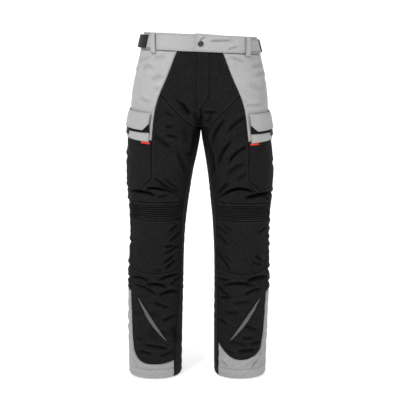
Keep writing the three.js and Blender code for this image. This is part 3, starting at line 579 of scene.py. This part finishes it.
BACK_FOLDS = [  # the same columns
    (-178, 508, -92, 524, 6, 7, 6.7),
    (-198, 540, -110, 548, -3, 6, 5.8),
    (-160, 566, -84, 556, 3, 7, 5.4),
    (-190, 596, -128, 612, 2, 8, 3.8),
    (86, 512, 176, 518, -5, 7, 7.0),
    (104, 548, 200, 538, 3, 6, 5.4),
    (76, 572, 150, 566, -3, 7, 5.8),
    (130, 610, 192, 594, 2, 8, 3.5),
    (-30, 292, -112, 262, 6, 10, 5.8),
    (34, 296, 118, 268, -5, 10, 5.4),
    (-22, 320, -92, 318, 3, 9, 3.5),
    (26, 326, 84, 330, -3, 9, 3.8),
    (-70, 96, -130, 120, 3, 12, 2.2),
    (78, 90, 138, 122, -2, 12, 2.6),
    (-180, 772, -96, 792, 5, 9, 3.5),
    (84, 778, 168, 798, 4, 9, 3.8),
    (-190, 930, -120, 948, 3, 10, 2.6),
    (96, 940, 172, 926, 3, 10, 2.6),
    (-150, 690, -90, 672, 3, 9, 2.6),
    (92, 676, 156, 692, -3, 9, 2.9),
    (-168, 470, -120, 478, 3, 6, 4.2),
    (110, 470, 158, 462, -3, 6, 4.4),
    (-96, 640, -150, 628, 2, 8, 3.0),
    (-158, 845, -106, 836, 3, 8, 3.2),
    (112, 860, 166, 872, -3, 8, 3.2),
    (-60, 200, -112, 216, 3, 10, 2.4),
    (66, 214, 120, 196, -3, 10, 2.6),
    (-146, 1000, -104, 992, 2, 7, 2.8),
    (104, 996, 150, 1004, 2, 7, 2.8),
]
OUTSIDE, OUTSIDE_WIDTH = 1.5, 0.55  # the angle round a leg where its outer side is, and how far it spreads


# %% Depth of the folds at any point
def side_and_angle(points):
    """Which leg each point is on, and the angle round it: 0 at the front, growing towards the outside."""
    side = np.where(points[:, 0] < 0, "right", "left")
    angle = np.zeros(len(points))
    for which in SIDES:
        mine = side == which
        offset = points[mine, :2] - middle(which, points[mine])
        angle[mine] = np.arctan2(offset[:, 0], -offset[:, 1]) * (1 if which == "left" else -1)
    return side, angle


def trough(x, drop, fold):
    """How far one fold pushes points out, in millimetres, and its painted shade: dark in the trough and light on the
    lips, from -1.1 up.
    """
    x1, drop1, x2, drop2, bow, width, depth = fold
    run, fall = x2 - x1, drop2 - drop1
    length = math.hypot(run, fall)
    along = ((x - x1) * run + (drop - drop1) * fall) / length**2
    lift = bow * 4 * along * (1 - along)
    off = ((x - x1) * fall - (drop - drop1) * run) / length * (1 if run >= 0 else -1)
    across = (off - lift) / width
    ends = fade(-0.1, 0.2, along) * (1 - fade(0.8, 1.1, along))
    bulge = 0.62 * bell(across, 1.5, 0.85) + 0.3 * bell(across, -1.8, 0.9)
    shut = bell(across, 0, 0.8)
    return ends * depth * (bulge - shut), ends * min(depth / 4.2, 1.1) * (0.45 * bulge - shut)


def folds_at(points):
    """How far all folds push each point out, in metres, and the painted shade and highlight of the folds and recesses,
    from -1 to 1.
    """
    x, drop = points[:, 0] * 1000, (EYE_LEVEL - points[:, 2]) * 1000
    front = 1 - fade(-0.04, 0.0, points[:, 1])
    back = fade(0.0, 0.04, points[:, 1])
    total, shade = np.zeros(len(points)), np.zeros(len(points))
    for folds, facing in ((FRONT_FOLDS, front), (BACK_FOLDS, back)):
        for fold in folds:
            push, light = trough(x, drop, fold)
            total += push * facing
            shade += light * facing
    side, angle = side_and_angle(points)
    outside = bell(angle, OUTSIDE, OUTSIDE_WIDTH)
    for which, folds in SIDE_FOLDS.items():
        for fold in folds:
            push, light = trough(points[:, 1] * 1000, drop, fold)
            total += push * outside * (side == which)
            shade += light * outside * (side == which)
    # Painted shade only: the recesses between the legs are darkened, not moved.
    for place in PAINTED_RECESS_SHADE:
        shade += trough(x, drop, place)[1]
    return total / 1000, np.clip(shade, -1, 1)


# %% [markdown]
# Between the big folds stout cloth still shows small slack waves. Below the pad and above the knee they run
# round the leg, and on the thigh they slant. They are sums of sines along turned directions with slowly
# drifting phases, so no two are alike, and they cost nothing to repeat on every run.

# %% Small slack waves
LEG_RADIUS = 88  # millimetres
WAVES = [  # drop where strongest, spread, slant in degrees, wavelength, height (all mm), 1 for the outside only
    (466, 22, 6, 19, 0.9, 0),
    (600, 60, -24, 30, 0.7, 0),
    (768, 30, 8, 21, 1.3, 0),
    (840, 60, -12, 36, 1.0, 0),
    (985, 55, 4, 38, 0.8, 0),
    (330, 90, 38, 46, 1.0, 0),
    (180, 80, -30, 52, 0.7, 0),
    (560, 130, 5, 26, 1.3, 1),
    (740, 60, -6, 29, 1.3, 1),
    (900, 90, 4, 34, 1.0, 1),
]


def slack_waves(points):
    drop = (WAIST_TOP - points[:, 2]) * 1000
    side, angle = side_and_angle(points)
    round_leg = angle * LEG_RADIUS
    total = np.zeros(len(points))
    calm = fade(0.0, 0.045, np.abs(points[:, 0] - 0.003))
    outside = bell(angle, OUTSIDE, 0.5)
    for k, (at, spread, slant, wavelength, height, only) in enumerate(WAVES):
        turn = math.radians(slant)
        along = round_leg * math.sin(turn) + drop * math.cos(turn)
        drift = 1.7 * np.sin(angle * 2.3 + k) + 1.3 * np.sin(drop / 41 + angle * 1.4 + 2 * k)
        phase = np.where(side == "left", 1.9, 0.0) + k
        patchy = 0.55 + 0.45 * np.sin(angle * 3.1 + drop / 57 + phase * 2)
        near = bell(drop, at, spread) * (outside if only else 1)
        total += height * patchy * near * np.sin(2 * math.pi * along / wavelength + drift + phase)
    return total * calm / 1000


# %% [markdown]
# ## Seams
# Where two panels are sewn together their edges dip into the seam, and the stitched-down allowance stands up
# next to it. The thread draws the cloth in at each stitch, so a seam is also slightly wavy. All of that is a
# function of the distance to the nearest seam, so both panels follow it alike.

# %% Points and normals of a mesh
def positions(mesh):
    flat = np.empty(len(mesh.vertices) * 3, dtype=np.float32)
    mesh.vertices.foreach_get("co", flat)
    return flat.reshape(-1, 3).astype(float)


def normals(mesh):
    flat = np.empty(len(mesh.vertices) * 3, dtype=np.float32)
    mesh.vertex_normals.foreach_get("vector", flat)
    return flat.reshape(-1, 3).astype(float)


def move_to(mesh, points):
    mesh.vertices.foreach_set("co", points.astype(np.float32).ravel())
    mesh.update()


def tree_of(points):
    tree = KDTree(len(points))
    for k, point in enumerate(points):
        tree.insert(point, k)
    tree.balance()
    return tree


def surface_of(piece):
    return BVHTree.FromPolygons([v.co for v in piece.data.vertices], [p.vertices for p in piece.data.polygons])


# %% Every panel's edge, sampled closely, with the normals there
EDGE_STEPS = 8  # samples along each edge between two points


def edge_of(piece):
    bm = bmesh.new()
    bm.from_mesh(piece.data)
    edge = [tuple(v.index for v in e.verts) for e in bm.edges if e.is_boundary]
    bm.free()
    return edge


def edge_points(piece):
    points = positions(piece.data)
    return [tuple(points[i]) for i in sorted({i for pair in edge_of(piece) for i in pair})]


samples, sample_normals, sample_names = [], [], []
panel_normals = {name: normals(piece.data) for name, piece in cloth.items()}
for name, piece in cloth.items():
    points, out = positions(piece.data), panel_normals[name]
    for i, j in edge_of(piece):
        for step in range(EDGE_STEPS):
            t = step / EDGE_STEPS
            samples.append(points[i] * (1 - t) + points[j] * t)
            sample_normals.append(out[i] * (1 - t) + out[j] * t)
            sample_names.append(name)
all_edges = tree_of(samples)
print("edge samples:", len(samples))

# %% Bring neighbouring edges together
SEWN = 0.0028  # edges nearer than this are sewn to each other
for name, piece in cloth.items():
    points = positions(piece.data)
    moved = points.copy()
    for i in {i for pair in edge_of(piece) for i in pair}:
        nearest = {}
        for _, k, distance in all_edges.find_range(points[i], SEWN):
            other = sample_names[k]
            if other != name and distance < nearest.get(other, (SEWN, 0))[0]:
                nearest[other] = (distance, k)
        if nearest:
            meet = [samples[k] for _, k in nearest.values()]
            moved[i] = np.mean([points[i], *meet], axis=0)
            out = panel_normals[name][i] + sum(sample_normals[k] for _, k in nearest.values())
            panel_normals[name][i] = out / np.linalg.norm(out)
    move_to(piece.data, moved)

# %% Dip, allowance and pucker beside a seam
DOUBLE = ("front_centre", "thigh_front", "knee_pad_panel", "shin_panel")  # these have a second stitched row, whose groove is painted as a dark line of shade
SEAM_REACH = 0.016  # a seam shows this far into a panel
PUCKER_SCALE = 75


def seam_relief(points, double):
    """How far a seam lifts each point, in metres, and its painted shade and highlight, from its distance d in mm."""
    relief, shade = np.zeros(len(points)), np.zeros(len(points))
    for k, point in enumerate(points):
        _, _, distance = all_edges.find(point)
        if distance > SEAM_REACH:
            continue
        d = distance * 1000
        dip = -2.0 * bell(d, 0, 2.0)
        allowance = 0.8 * bell(d, 5, 3)
        pucker = 0.9 * bell(d, 4, 6) * noise.noise(Vector(point) * PUCKER_SCALE)
        relief[k] = (dip + allowance + pucker) / 1000
        # Painted shade in the seam's dip and a painted highlight on the allowance; the pucker is painted lighter and
        # darker too.
        shade[k] = 0.2 * bell(d, 4.8, 2.0) - 0.7 * bell(d, 0, 1.8) + pucker * 0.25
        # The second stitched row's groove is painted as a dark line of shade.
        if double:
            shade[k] -= 0.3 * bell(d, 8.5, 1.4)
    return relief, shade


# %% Shape every panel
RIBS_CALM = 0.25  # how much of the folds and waves reaches the stiff ribs
PALE_SEAMS = 0.35  # a seam's painted shade is weaker on the pale cloth
# turns a slack wave's height in metres into painted shade and highlight
WAVE_SHADE = 90


# Stores painted shade and highlight, from -1 to 1, which the cloth finishes use to darken or lighten the colour.
def add_shade(mesh, values):
    layer = mesh.attributes.new("painted_shade", "FLOAT", "POINT")
    layer.data.foreach_set("value", np.clip(values, -1, 1).astype(np.float32))


for name, piece in cloth.items():
    points = positions(piece.data)
    calm = RIBS_CALM if "ribs" in name else 1.0
    fold_push, fold_shade = folds_at(points)
    wave = slack_waves(points) * calm
    seam_push, seam_shade = seam_relief(points, name.startswith(DOUBLE))
    pale = piece.data.materials[0] != BLACK
    # Painted shade and highlight from the folds, the seams and the slack waves.
    shade = fold_shade * calm + seam_shade * (PALE_SEAMS if pale else 1.0) + wave * WAVE_SHADE
    if "gaiter" in name:
        above_hem = (points[:, 2] - (WAIST_TOP - HEM)) * 1000
        # The hem's stitched groove is painted as a dark line of shade, with a lighter band painted just below it.
        shade += 0.2 * bell(above_hem, 23, 4) - 0.6 * bell(above_hem, 28.5, 1.8)
    if "ribs" in name:
        groove = np.empty(len(points), dtype=np.float32)
        piece.data.attributes["groove"].data.foreach_get("value", groove)
        # Painted shade in the rib grooves and a painted highlight on the crests between them.
        shade += 0.9 - 2.4 * groove
    move_to(piece.data, points + panel_normals[name] * (fold_push * calm + wave + seam_push)[:, None])
    add_shade(piece.data, shade)
print("panels creased")

# %% [markdown]
# ## Weave direction
# A weave has to follow the leg. Each panel gets a UV map in metres: the way round the leg's middle line, and
# the height. The angle is measured from the panel's own middle, so that it never jumps inside a panel.

# %% UV map round the leg
UV_RADIUS = 0.09  # turns an angle round the leg into metres


def add_uv(piece, side):
    mesh = piece.data
    points = positions(mesh)
    offset = points[:, :2] - middle(side, points)
    angle = np.arctan2(offset[:, 1], offset[:, 0])
    centre = math.atan2(np.sin(angle).mean(), np.cos(angle).mean())
    angle = (angle - centre + math.pi) % (2 * math.pi) - math.pi
    layer = mesh.uv_layers.new(name="cloth")
    corner = np.empty(len(mesh.loops), dtype=np.int32)
    mesh.loops.foreach_get("vertex_index", corner)
    flat = np.stack([angle[corner] * UV_RADIUS, points[corner, 2]], axis=1)
    layer.data.foreach_set("uv", flat.astype(np.float32).ravel())


def finish_cloth(piece, node, side, thick):
    add_uv(piece, side)
    mesh = piece.data
    smooth_shading(mesh)
    wall = piece.modifiers.new("thickness", "SOLIDIFY")
    wall.thickness = thick
    wall.offset = -1
    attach(piece, "root")
    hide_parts(node)
    box = np.ptp(positions(mesh), axis=0)


for name, piece in cloth.items():
    finish_cloth(piece, name, side_of(name), PANEL_THICK)
print("main panels done")

# %% [markdown]
# ## Waistband, loops, pockets and trim
# What lies on the panels is cloth too. It is smoothed in the same way, and since it is short and stiff it
# gets only a little unevenness.

# %% The table of trim
TRIM = [  # name, finish, smoothing levels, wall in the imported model, cloth thickness, unevenness in mm
    ("waistband_front_right", PALE, 3, 0.003, 0.0026, 0.5),
    ("waistband_front_left", PALE, 3, 0.003, 0.0026, 0.5),
    ("waistband_back", PALE, 3, 0.003, 0.0026, 0.5),
    ("fly_placket", BLACK, 3, 0.0018, 0.0014, 0.5),
    ("adjuster_strap_right", PALE, 3, 0.0018, 0.0016, 0.3),
    ("adjuster_strap_left", PALE, 3, 0.0018, 0.0016, 0.3),
]
LOOPS = [f"belt_loop_{part}" for part in ("front_right", "front_left", "back_right", "back_left", "centre_back")]
for name in LOOPS:
    TRIM.append((name, PALE, 3, 0.0018, 0.0016, 0.2))
for side in SIDES:
    TRIM.append((f"pocket_face_{side}", BLACK, 3, 0.0018, 0.0014, 0.8))
    TRIM.append((f"pocket_band_{side}", PALE, 3, 0.0018, 0.0014, 0.6))
    TRIM.append((f"pocket_flap_{side}", PALE, 3, 0.0024, 0.002, 0.6))
    TRIM.append((f"red_tab_{side}", RED, 2, 0.001, 0.0009, 0.2))
    TRIM.append((f"reflector_{side}", FILM, 2, 0.0008, 0.0006, 0.0))

# %% Shape the trim
UNEVEN_SCALE = 22
REFLECTOR_LIFT, FLY_LIFT = 0.0002, 0.0006  # metres above the creased panel below
LAP_RISE = 0.003  # the band's left end stands this far above the right one
LOOP_FOOT = 0.004  # a loop is painted with shade this far above its lower end
trim = {}
for name, finish, levels, wall, thick, uneven in TRIM:
    piece = smoothed(outer_face(name, wall), f"{name}_cloth", levels)
    give_finish(piece, finish)
    points, out = positions(piece.data), normals(piece.data)
    wave = np.array([noise.noise(Vector(p) * UNEVEN_SCALE) for p in points]) * uneven / 1000
    push, shade = folds_at(points)
    own_edge = tree_of(edge_points(piece))
    inset = np.array([own_edge.find(p)[2] for p in points]) * 1000
    # Painted shade: the folds' shade, a dark line along the piece's own turned edge and a lighter band painted just
    # inside it.
    shade += 0.15 * bell(inset, 2.5, 1.2) - 0.7 * bell(inset, 0, 1.1)
    if "reflector" in name:
        wave = push + slack_waves(points) + REFLECTOR_LIFT
    if "fly" in name:
        wave = wave + push + FLY_LIFT
        # Dark lines of painted shade in the two stitched grooves.
        shade -= 0.35 * bell(inset, 4, 1.2) + 0.4 * bell(inset, 9, 1.2)
    if "waistband" in name:
        wave = wave + push
        # A dark line of painted shade in the stitched groove.
        shade -= 0.3 * bell(inset, 4, 1.2)
    if "waistband_front_left" in name:
        lapped = 1 - fade(-0.02, 0.1, points[:, 0])
        points[:, 2] += LAP_RISE * lapped * fade(-0.02, 0.02, points[:, 2])
    if "belt_loop" in name:
        # Painted shade at the loop's foot, where it stands off the band.
        shade -= 0.8 * (1 - fade(0.0, LOOP_FOOT, points[:, 2] - points[:, 2].min()))
    add_shade(piece.data, shade)
    move_to(piece.data, points + out * wave[:, None])
    trim[name] = piece
    finish_cloth(piece, name, "right" if points[:, 0].mean() < 0 else "left", thick)
print("trim:", len(trim))

# %% [markdown]
# ## Rubber tabs
# The adjuster tabs and the flap pulls are moulded, with soft round edges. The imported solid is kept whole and
# its edges are rounded.

# %% Tabs
TAB_ROUNDING = 0.0005
SHARP = 0.9  # radians between two faces
for name in ("adjuster_tab_right", "adjuster_tab_left", "flap_pull_right", "flap_pull_left"):
    bm = bmesh.new()
    bm.from_mesh(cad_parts[name].data)
    bmesh.ops.remove_doubles(bm, verts=bm.verts, dist=MERGE)
    bmesh.ops.join_triangles(bm, faces=bm.faces, angle_face_threshold=math.pi, angle_shape_threshold=math.pi)
    bm.normal_update()
    sharp = [e for e in bm.edges if len(e.link_faces) == 2 and e.calc_face_angle() > SHARP]
    bmesh.ops.bevel(
        bm, geom=sharp, offset=TAB_ROUNDING, offset_type="OFFSET", affect="EDGES", segments=2, profile=0.5,
        material=-1, clamp_overlap=True,
    )
    tab = smoothed(bm, f"{name}_moulded", 1)
    give_finish(tab, RUBBER)
    smooth_shading(tab.data)
    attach(tab, "root")
    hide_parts(name)

# %% [markdown]
# ## Snap
# The cap of the snap is a stamped dome with a rolled rim. A profile is spun round its axis, then turned to
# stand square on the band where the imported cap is.

# %% Spin the cap
SNAP_PROFILE = [  # radius and height, in millimetres
    (0, 3.2), (2.2, 3.1), (4.3, 2.6), (5.6, 1.95), (6.1, 1.85), (6.6, 2.1),
    (7.2, 2.3), (7.9, 2.0), (8.4, 1.2), (8.5, 0.3), (8.3, 0.0), (0, 0.0),
]
SNAP_TURN = math.radians(88)  # the band leans back a little
SNAP_BACK = 96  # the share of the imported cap's points, in per cent, that lies before its foot
low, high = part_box("snap_button")
cap_points = positions(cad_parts["snap_button"].data)
foot = Vector(((low.x + high.x) / 2, float(np.percentile(cap_points[:, 1], SNAP_BACK)), (low.z + high.z) / 2))
bm = bmesh.new()
ring = [bm.verts.new((r / 1000, 0, h / 1000)) for r, h in SNAP_PROFILE]
for a, b in zip(ring, ring[1:]):
    bm.edges.new((a, b))
bmesh.ops.spin(
    bm, geom=bm.verts[:] + bm.edges[:], cent=(0, 0, 0), axis=(0, 0, 1), dvec=(0, 0, 0), angle=2 * math.pi,
    steps=40, use_merge=True, use_duplicate=False,
)
bmesh.ops.remove_doubles(bm, verts=bm.verts, dist=1e-6)
bmesh.ops.recalc_face_normals(bm, faces=bm.faces)
bmesh.ops.transform(bm, matrix=Matrix.Translation(foot) @ Matrix.Rotation(SNAP_TURN, 4, "X"), verts=bm.verts)
cap = add_object("snap_cap", mesh_from(bm, "snap_cap"))
give_finish(cap, METAL)
smooth_shading(cap.data)
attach(cap, "root")
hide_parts("snap_button")
print("snap cap at", [round(v, 3) for v in foot])

# %% [markdown]
# ## Topstitching
# The seams are stitched down with one or two rows of thread. A row follows a panel's edge at a set distance.
# Each stitch is a small capsule of a few faces, laid along the cloth, and all of one colour become one piece.

# %% Find the edge that two panels share
SHARED = 0.0018  # edges nearer than this are one seam


def edge_line(piece, keep=lambda co: True):
    """The longest run of the piece's edge whose points all pass keep, in order."""
    bm = bmesh.new()
    bm.from_mesh(piece.data)
    edge = [e for e in bm.edges if e.is_boundary and all(keep(v.co) for v in e.verts)]
    links = {}
    for e in edge:
        for v in e.verts:
            links.setdefault(v, []).append(e.other_vert(v))
    best, seen = [], set()
    for start in sorted(links, key=lambda v: len(links[v])):
        if start in seen:
            continue
        line, at = [], start
        while at is not None:
            seen.add(at)
            line.append(tuple(at.co))
            at = next((v for v in links[at] if v not in seen), None)
        if len(line) > len(best):
            best = line
    bm.free()
    return best


def shared_edge(name, neighbour):
    theirs = tree_of(edge_points(cloth[neighbour]))
    return edge_line(cloth[name], lambda co: theirs.find(co)[2] < SHARED)


# %% Lay a row of stitches beside an edge
STITCH, STITCH_STEP = 0.0026, 0.0036  # a stitch's length, and from one to the next
THREAD_RADIUS = 0.00034
THREAD_LIFT = 0.00015  # above the cloth
stitch_meshes = {"black": bmesh.new(), "pale": bmesh.new()}


def resample(line, step):
    """Points along the line, one at each step."""
    if len(line) < 3:
        return []
    points = np.array(line, dtype=float)
    lengths = np.concatenate([[0], np.cumsum(np.linalg.norm(np.diff(points, axis=0), axis=1))])
    if lengths[-1] < 3 * step:
        return []
    at = np.arange(step / 2, lengths[-1], step)
    return np.stack([np.interp(at, lengths, points[:, k]) for k in range(3)], axis=1)


def add_stitch(bm, at, along, up):
    across = along.cross(up).normalized()
    up = across.cross(along).normalized()
    turn = Matrix((across, along, up)).transposed().to_4x4()
    bmesh.ops.create_cone(
        bm, cap_ends=True, segments=5, radius1=THREAD_RADIUS, radius2=THREAD_RADIUS, depth=STITCH,
        matrix=Matrix.Translation(at) @ turn @ Matrix.Rotation(math.pi / 2, 4, "X"),
    )


def stitch_row(piece, line, inset, colour):
    """Stitches along a line of edge points, moved inset metres onto the piece. Says how many places it found."""
    tree = surface_of(piece)
    path = resample(line, STITCH_STEP)
    if len(path) < 4:
        return 0
    placed = []
    for k, point in enumerate(path):
        along = Vector(path[min(k + 1, len(path) - 1)] - path[max(k - 1, 0)]).normalized()
        _, up, _, _ = tree.find_nearest(Vector(point))
        inwards = along.cross(up).normalized()
        tries = []
        for sign in (1, -1):
            spot, normal, _, miss = tree.find_nearest(Vector(point) + inwards * sign * inset)
            tries.append((miss, spot, normal))
        miss, spot, normal = min(tries, key=lambda t: t[0])
        if miss < inset * 0.5:
            placed.append((spot + normal * THREAD_LIFT, normal))
    for (a, up), (b, _) in zip(placed, placed[1:]):
        run = b - a
        if run.length < STITCH_STEP * 2:
            add_stitch(stitch_meshes[colour], a, run.normalized(), up)
    return len(placed)


# %% The table of stitched seams
ROWS = [  # panel, the neighbour across the seam, insets in millimetres, thread
    ("front_centre", "hip_panel", (2.2, 7.5), "black"),
    ("front_centre", "thigh_front", (2.2, 7.5), "black"),
    ("thigh_front", "hip_panel", (2.2,), "black"),
    ("thigh_front", "side_panel", (2.2, 7.5), "black"),
    ("thigh_front", "inner_leg", (2.2,), "black"),
    ("thigh_front", "knee_cap", (2.2, 7.5), "black"),
    ("knee_pad_panel", "knee_ribs", (2.2, 7.5), "black"),
    ("shin_panel", "knee_pad_panel", (2.2, 7.5), "black"),
    ("shin_panel", "gaiter", (2.2, 7.5), "black"),
    ("shin_panel", "inner_leg", (2.2,), "black"),
    ("side_panel", "knee_pad_panel", (2.2,), "black"),
    ("side_panel", "back_upper", (2.2,), "black"),
    ("side_panel", "gaiter", (2.2,), "black"),
    ("back_upper", "back_lower", (2.2, 7.5), "black"),
    ("back_upper", "hip_panel", (2.2,), "black"),
    ("back_lower", "gaiter", (2.2,), "black"),
    ("back_lower", "side_panel", (2.2,), "black"),
    ("inner_leg", "back_upper", (2.2,), "black"),
    ("inner_leg", "back_lower", (2.2,), "black"),
    ("gaiter", "inner_leg", (2.2,), "pale"),
    ("hip_panel", "side_panel", (2.2,), "pale"),
]
count = 0
for base, neighbour, insets, colour in ROWS:
    for side in SIDES:
        line = shared_edge(f"{base}_{side}", f"{neighbour}_{side}")
        if not line:
            print("no shared edge:", base, neighbour, side)
        for inset in insets:
            count += stitch_row(cloth[f"{base}_{side}"], line, inset / 1000, colour)
print("seam stitches:", count)

# %% [markdown]
# Loose edges are turned in and stitched too: the band, loops, straps, flaps, pockets and the fly. The hem is
# turned up once, so its row runs round the leg at one height, found by looking out from the leg's middle.

# %% Rows round loose edges, and round the hems
EDGE_ROWS = [("fly_placket", (3.0, 8.5), "black")]
for part in ("waistband_front_right", "waistband_front_left", "waistband_back"):
    EDGE_ROWS.append((part, (3.0,), "pale"))
for part in ("adjuster_strap_right", "adjuster_strap_left"):
    EDGE_ROWS.append((part, (3.0,), "pale"))
for name in LOOPS:
    EDGE_ROWS.append((name, (2.4,), "pale"))
for side in SIDES:
    EDGE_ROWS.append((f"pocket_flap_{side}", (4.5,), "pale"))
    EDGE_ROWS.append((f"pocket_face_{side}", (2.2,), "black"))
    EDGE_ROWS.append((f"pocket_band_{side}", (2.2,), "pale"))
for name, insets, colour in EDGE_ROWS:
    for inset in insets:
        count += stitch_row(trim[name], edge_line(trim[name]), inset / 1000, colour)

HEM_ROW = 0.028  # above the hem
HEM_RADIUS = 0.085  # sets the turn from one stitch to the next
for side in SIDES:
    for base, colour in (("gaiter", "pale"), ("inner_leg", "black"), ("back_lower", "black")):
        piece = cloth[f"{base}_{side}"]
        tree = surface_of(piece)
        z = WAIST_TOP - HEM + HEM_ROW
        centre = Vector((*middle(side, np.array([[0, 0, z]]))[0], z))
        previous = None
        for k in range(int(2 * math.pi * HEM_RADIUS / STITCH_STEP) + 2):
            angle = k * STITCH_STEP / HEM_RADIUS
            spot, normal, _, _ = tree.ray_cast(centre, Vector((math.cos(angle), math.sin(angle), 0)))
            if spot is not None and previous is not None and (spot - previous).length < 3 * STITCH_STEP:
                up = normal if normal.dot(spot - centre) > 0 else -normal
                add_stitch(stitch_meshes[colour], spot + up * THREAD_LIFT, (spot - previous).normalized(), up)
                count += 1
            previous = spot

# %% Join the stitches of each colour
for colour, finish, slot in (("black", THREAD_BLACK, "black_cloth"), ("pale", THREAD_PALE, "grey_cloth")):
    bm = stitch_meshes[colour]
    bmesh.ops.recalc_face_normals(bm, faces=bm.faces)
    thread = add_object(f"stitching_{colour}", mesh_from(bm, f"stitching_{colour}"))
    give_finish(thread, finish)
    smooth_shading(thread.data)
    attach(thread, "root")
    print(thread.name, "faces:", len(thread.data.polygons))
print("stitches:", count)

# %% [markdown]
# ## Studio
# A pale floor that curves up into a backdrop, a surround that is brighter overhead, a large soft light from the
# upper left and a weaker one from the right.

# %% Floor and lights
SURROUND = (0.1, 0.75)  # how bright the surround is at the floor and overhead
FLOOR_SIZE, FLOOR_CURVE = 6, 3  # from the middle to each edge and up the backdrop, and the bend between them
FLOOR_GAP = 0.004  # under the hems
LIT_PLACE = Vector((0, 0, -0.5))  # where both lights point
bm = bmesh.new()
bmesh.ops.create_grid(bm, x_segments=1, y_segments=1, size=FLOOR_SIZE)
bmesh.ops.translate(bm, verts=bm.verts, vec=(0, 0, WAIST_TOP - HEM - FLOOR_GAP))
back_edge = [e for e in bm.edges if all(v.co.y > FLOOR_SIZE / 2 for v in e.verts)]
raised = [g for g in bmesh.ops.extrude_edge_only(bm, edges=back_edge)["geom"] if isinstance(g, bmesh.types.BMVert)]
bmesh.ops.translate(bm, verts=raised, vec=(0, 0, FLOOR_SIZE))
bend = [e for e in bm.edges if len(e.link_faces) == 2]
bmesh.ops.bevel(
    bm, geom=bend, offset=FLOOR_CURVE, offset_type="OFFSET", affect="EDGES", segments=16, profile=0.5, material=-1
)
bmesh.ops.recalc_face_normals(bm, faces=bm.faces)
floor = add_object("studio_floor", mesh_from(bm, "studio_floor"))
smooth_shading(floor.data)
floor_paint = Finish(
    "floor_paint", Roughness=0.9, Base_Color=grey(0.8), Emission_Color=grey(1.0), Emission_Strength=0.55
)
give_finish(floor, floor_paint.material)

world = bpy.data.worlds.new("surround")
bpy.context.scene.world = world
world.use_nodes = True
sky = world.node_tree
glow = sky.nodes["Background"]
glow.inputs["Color"].default_value = (1, 1, 1, 1)
place = sky.nodes.new("ShaderNodeTexCoord")
parts = sky.nodes.new("ShaderNodeSeparateXYZ")
height = sky.nodes.new("ShaderNodeMapRange")
for socket, value in (("From Min", -0.4), ("From Max", 1.0), ("To Min", SURROUND[0]), ("To Max", SURROUND[1])):
    height.inputs[socket].default_value = value
seen = sky.nodes.new("ShaderNodeLightPath")
choose = sky.nodes.new("ShaderNodeMix")
choose.inputs["B"].default_value = 1.0
sky.links.new(place.outputs["Generated"], parts.inputs[0])
sky.links.new(parts.outputs["Z"], height.inputs["Value"])
sky.links.new(seen.outputs["Is Camera Ray"], choose.inputs["Factor"])
sky.links.new(height.outputs["Result"], choose.inputs["A"])
sky.links.new(choose.outputs["Result"], glow.inputs["Strength"])


def area_light(name, place, size, watts):
    lamp = add_object(name, bpy.data.lights.new(name, "AREA"))
    lamp.data.size = size
    lamp.data.energy = watts
    lamp.location = place
    lamp.rotation_euler = (LIT_PLACE - Vector(place)).to_track_quat("-Z", "Y").to_euler()


area_light("key_light", (-1.4, -2.0, 2.4), 1.1, 84)
area_light("side_light", (2.6, -1.8, 0.8), 1.4, 16)

# %% Sizes
low, high = CAD_BOX
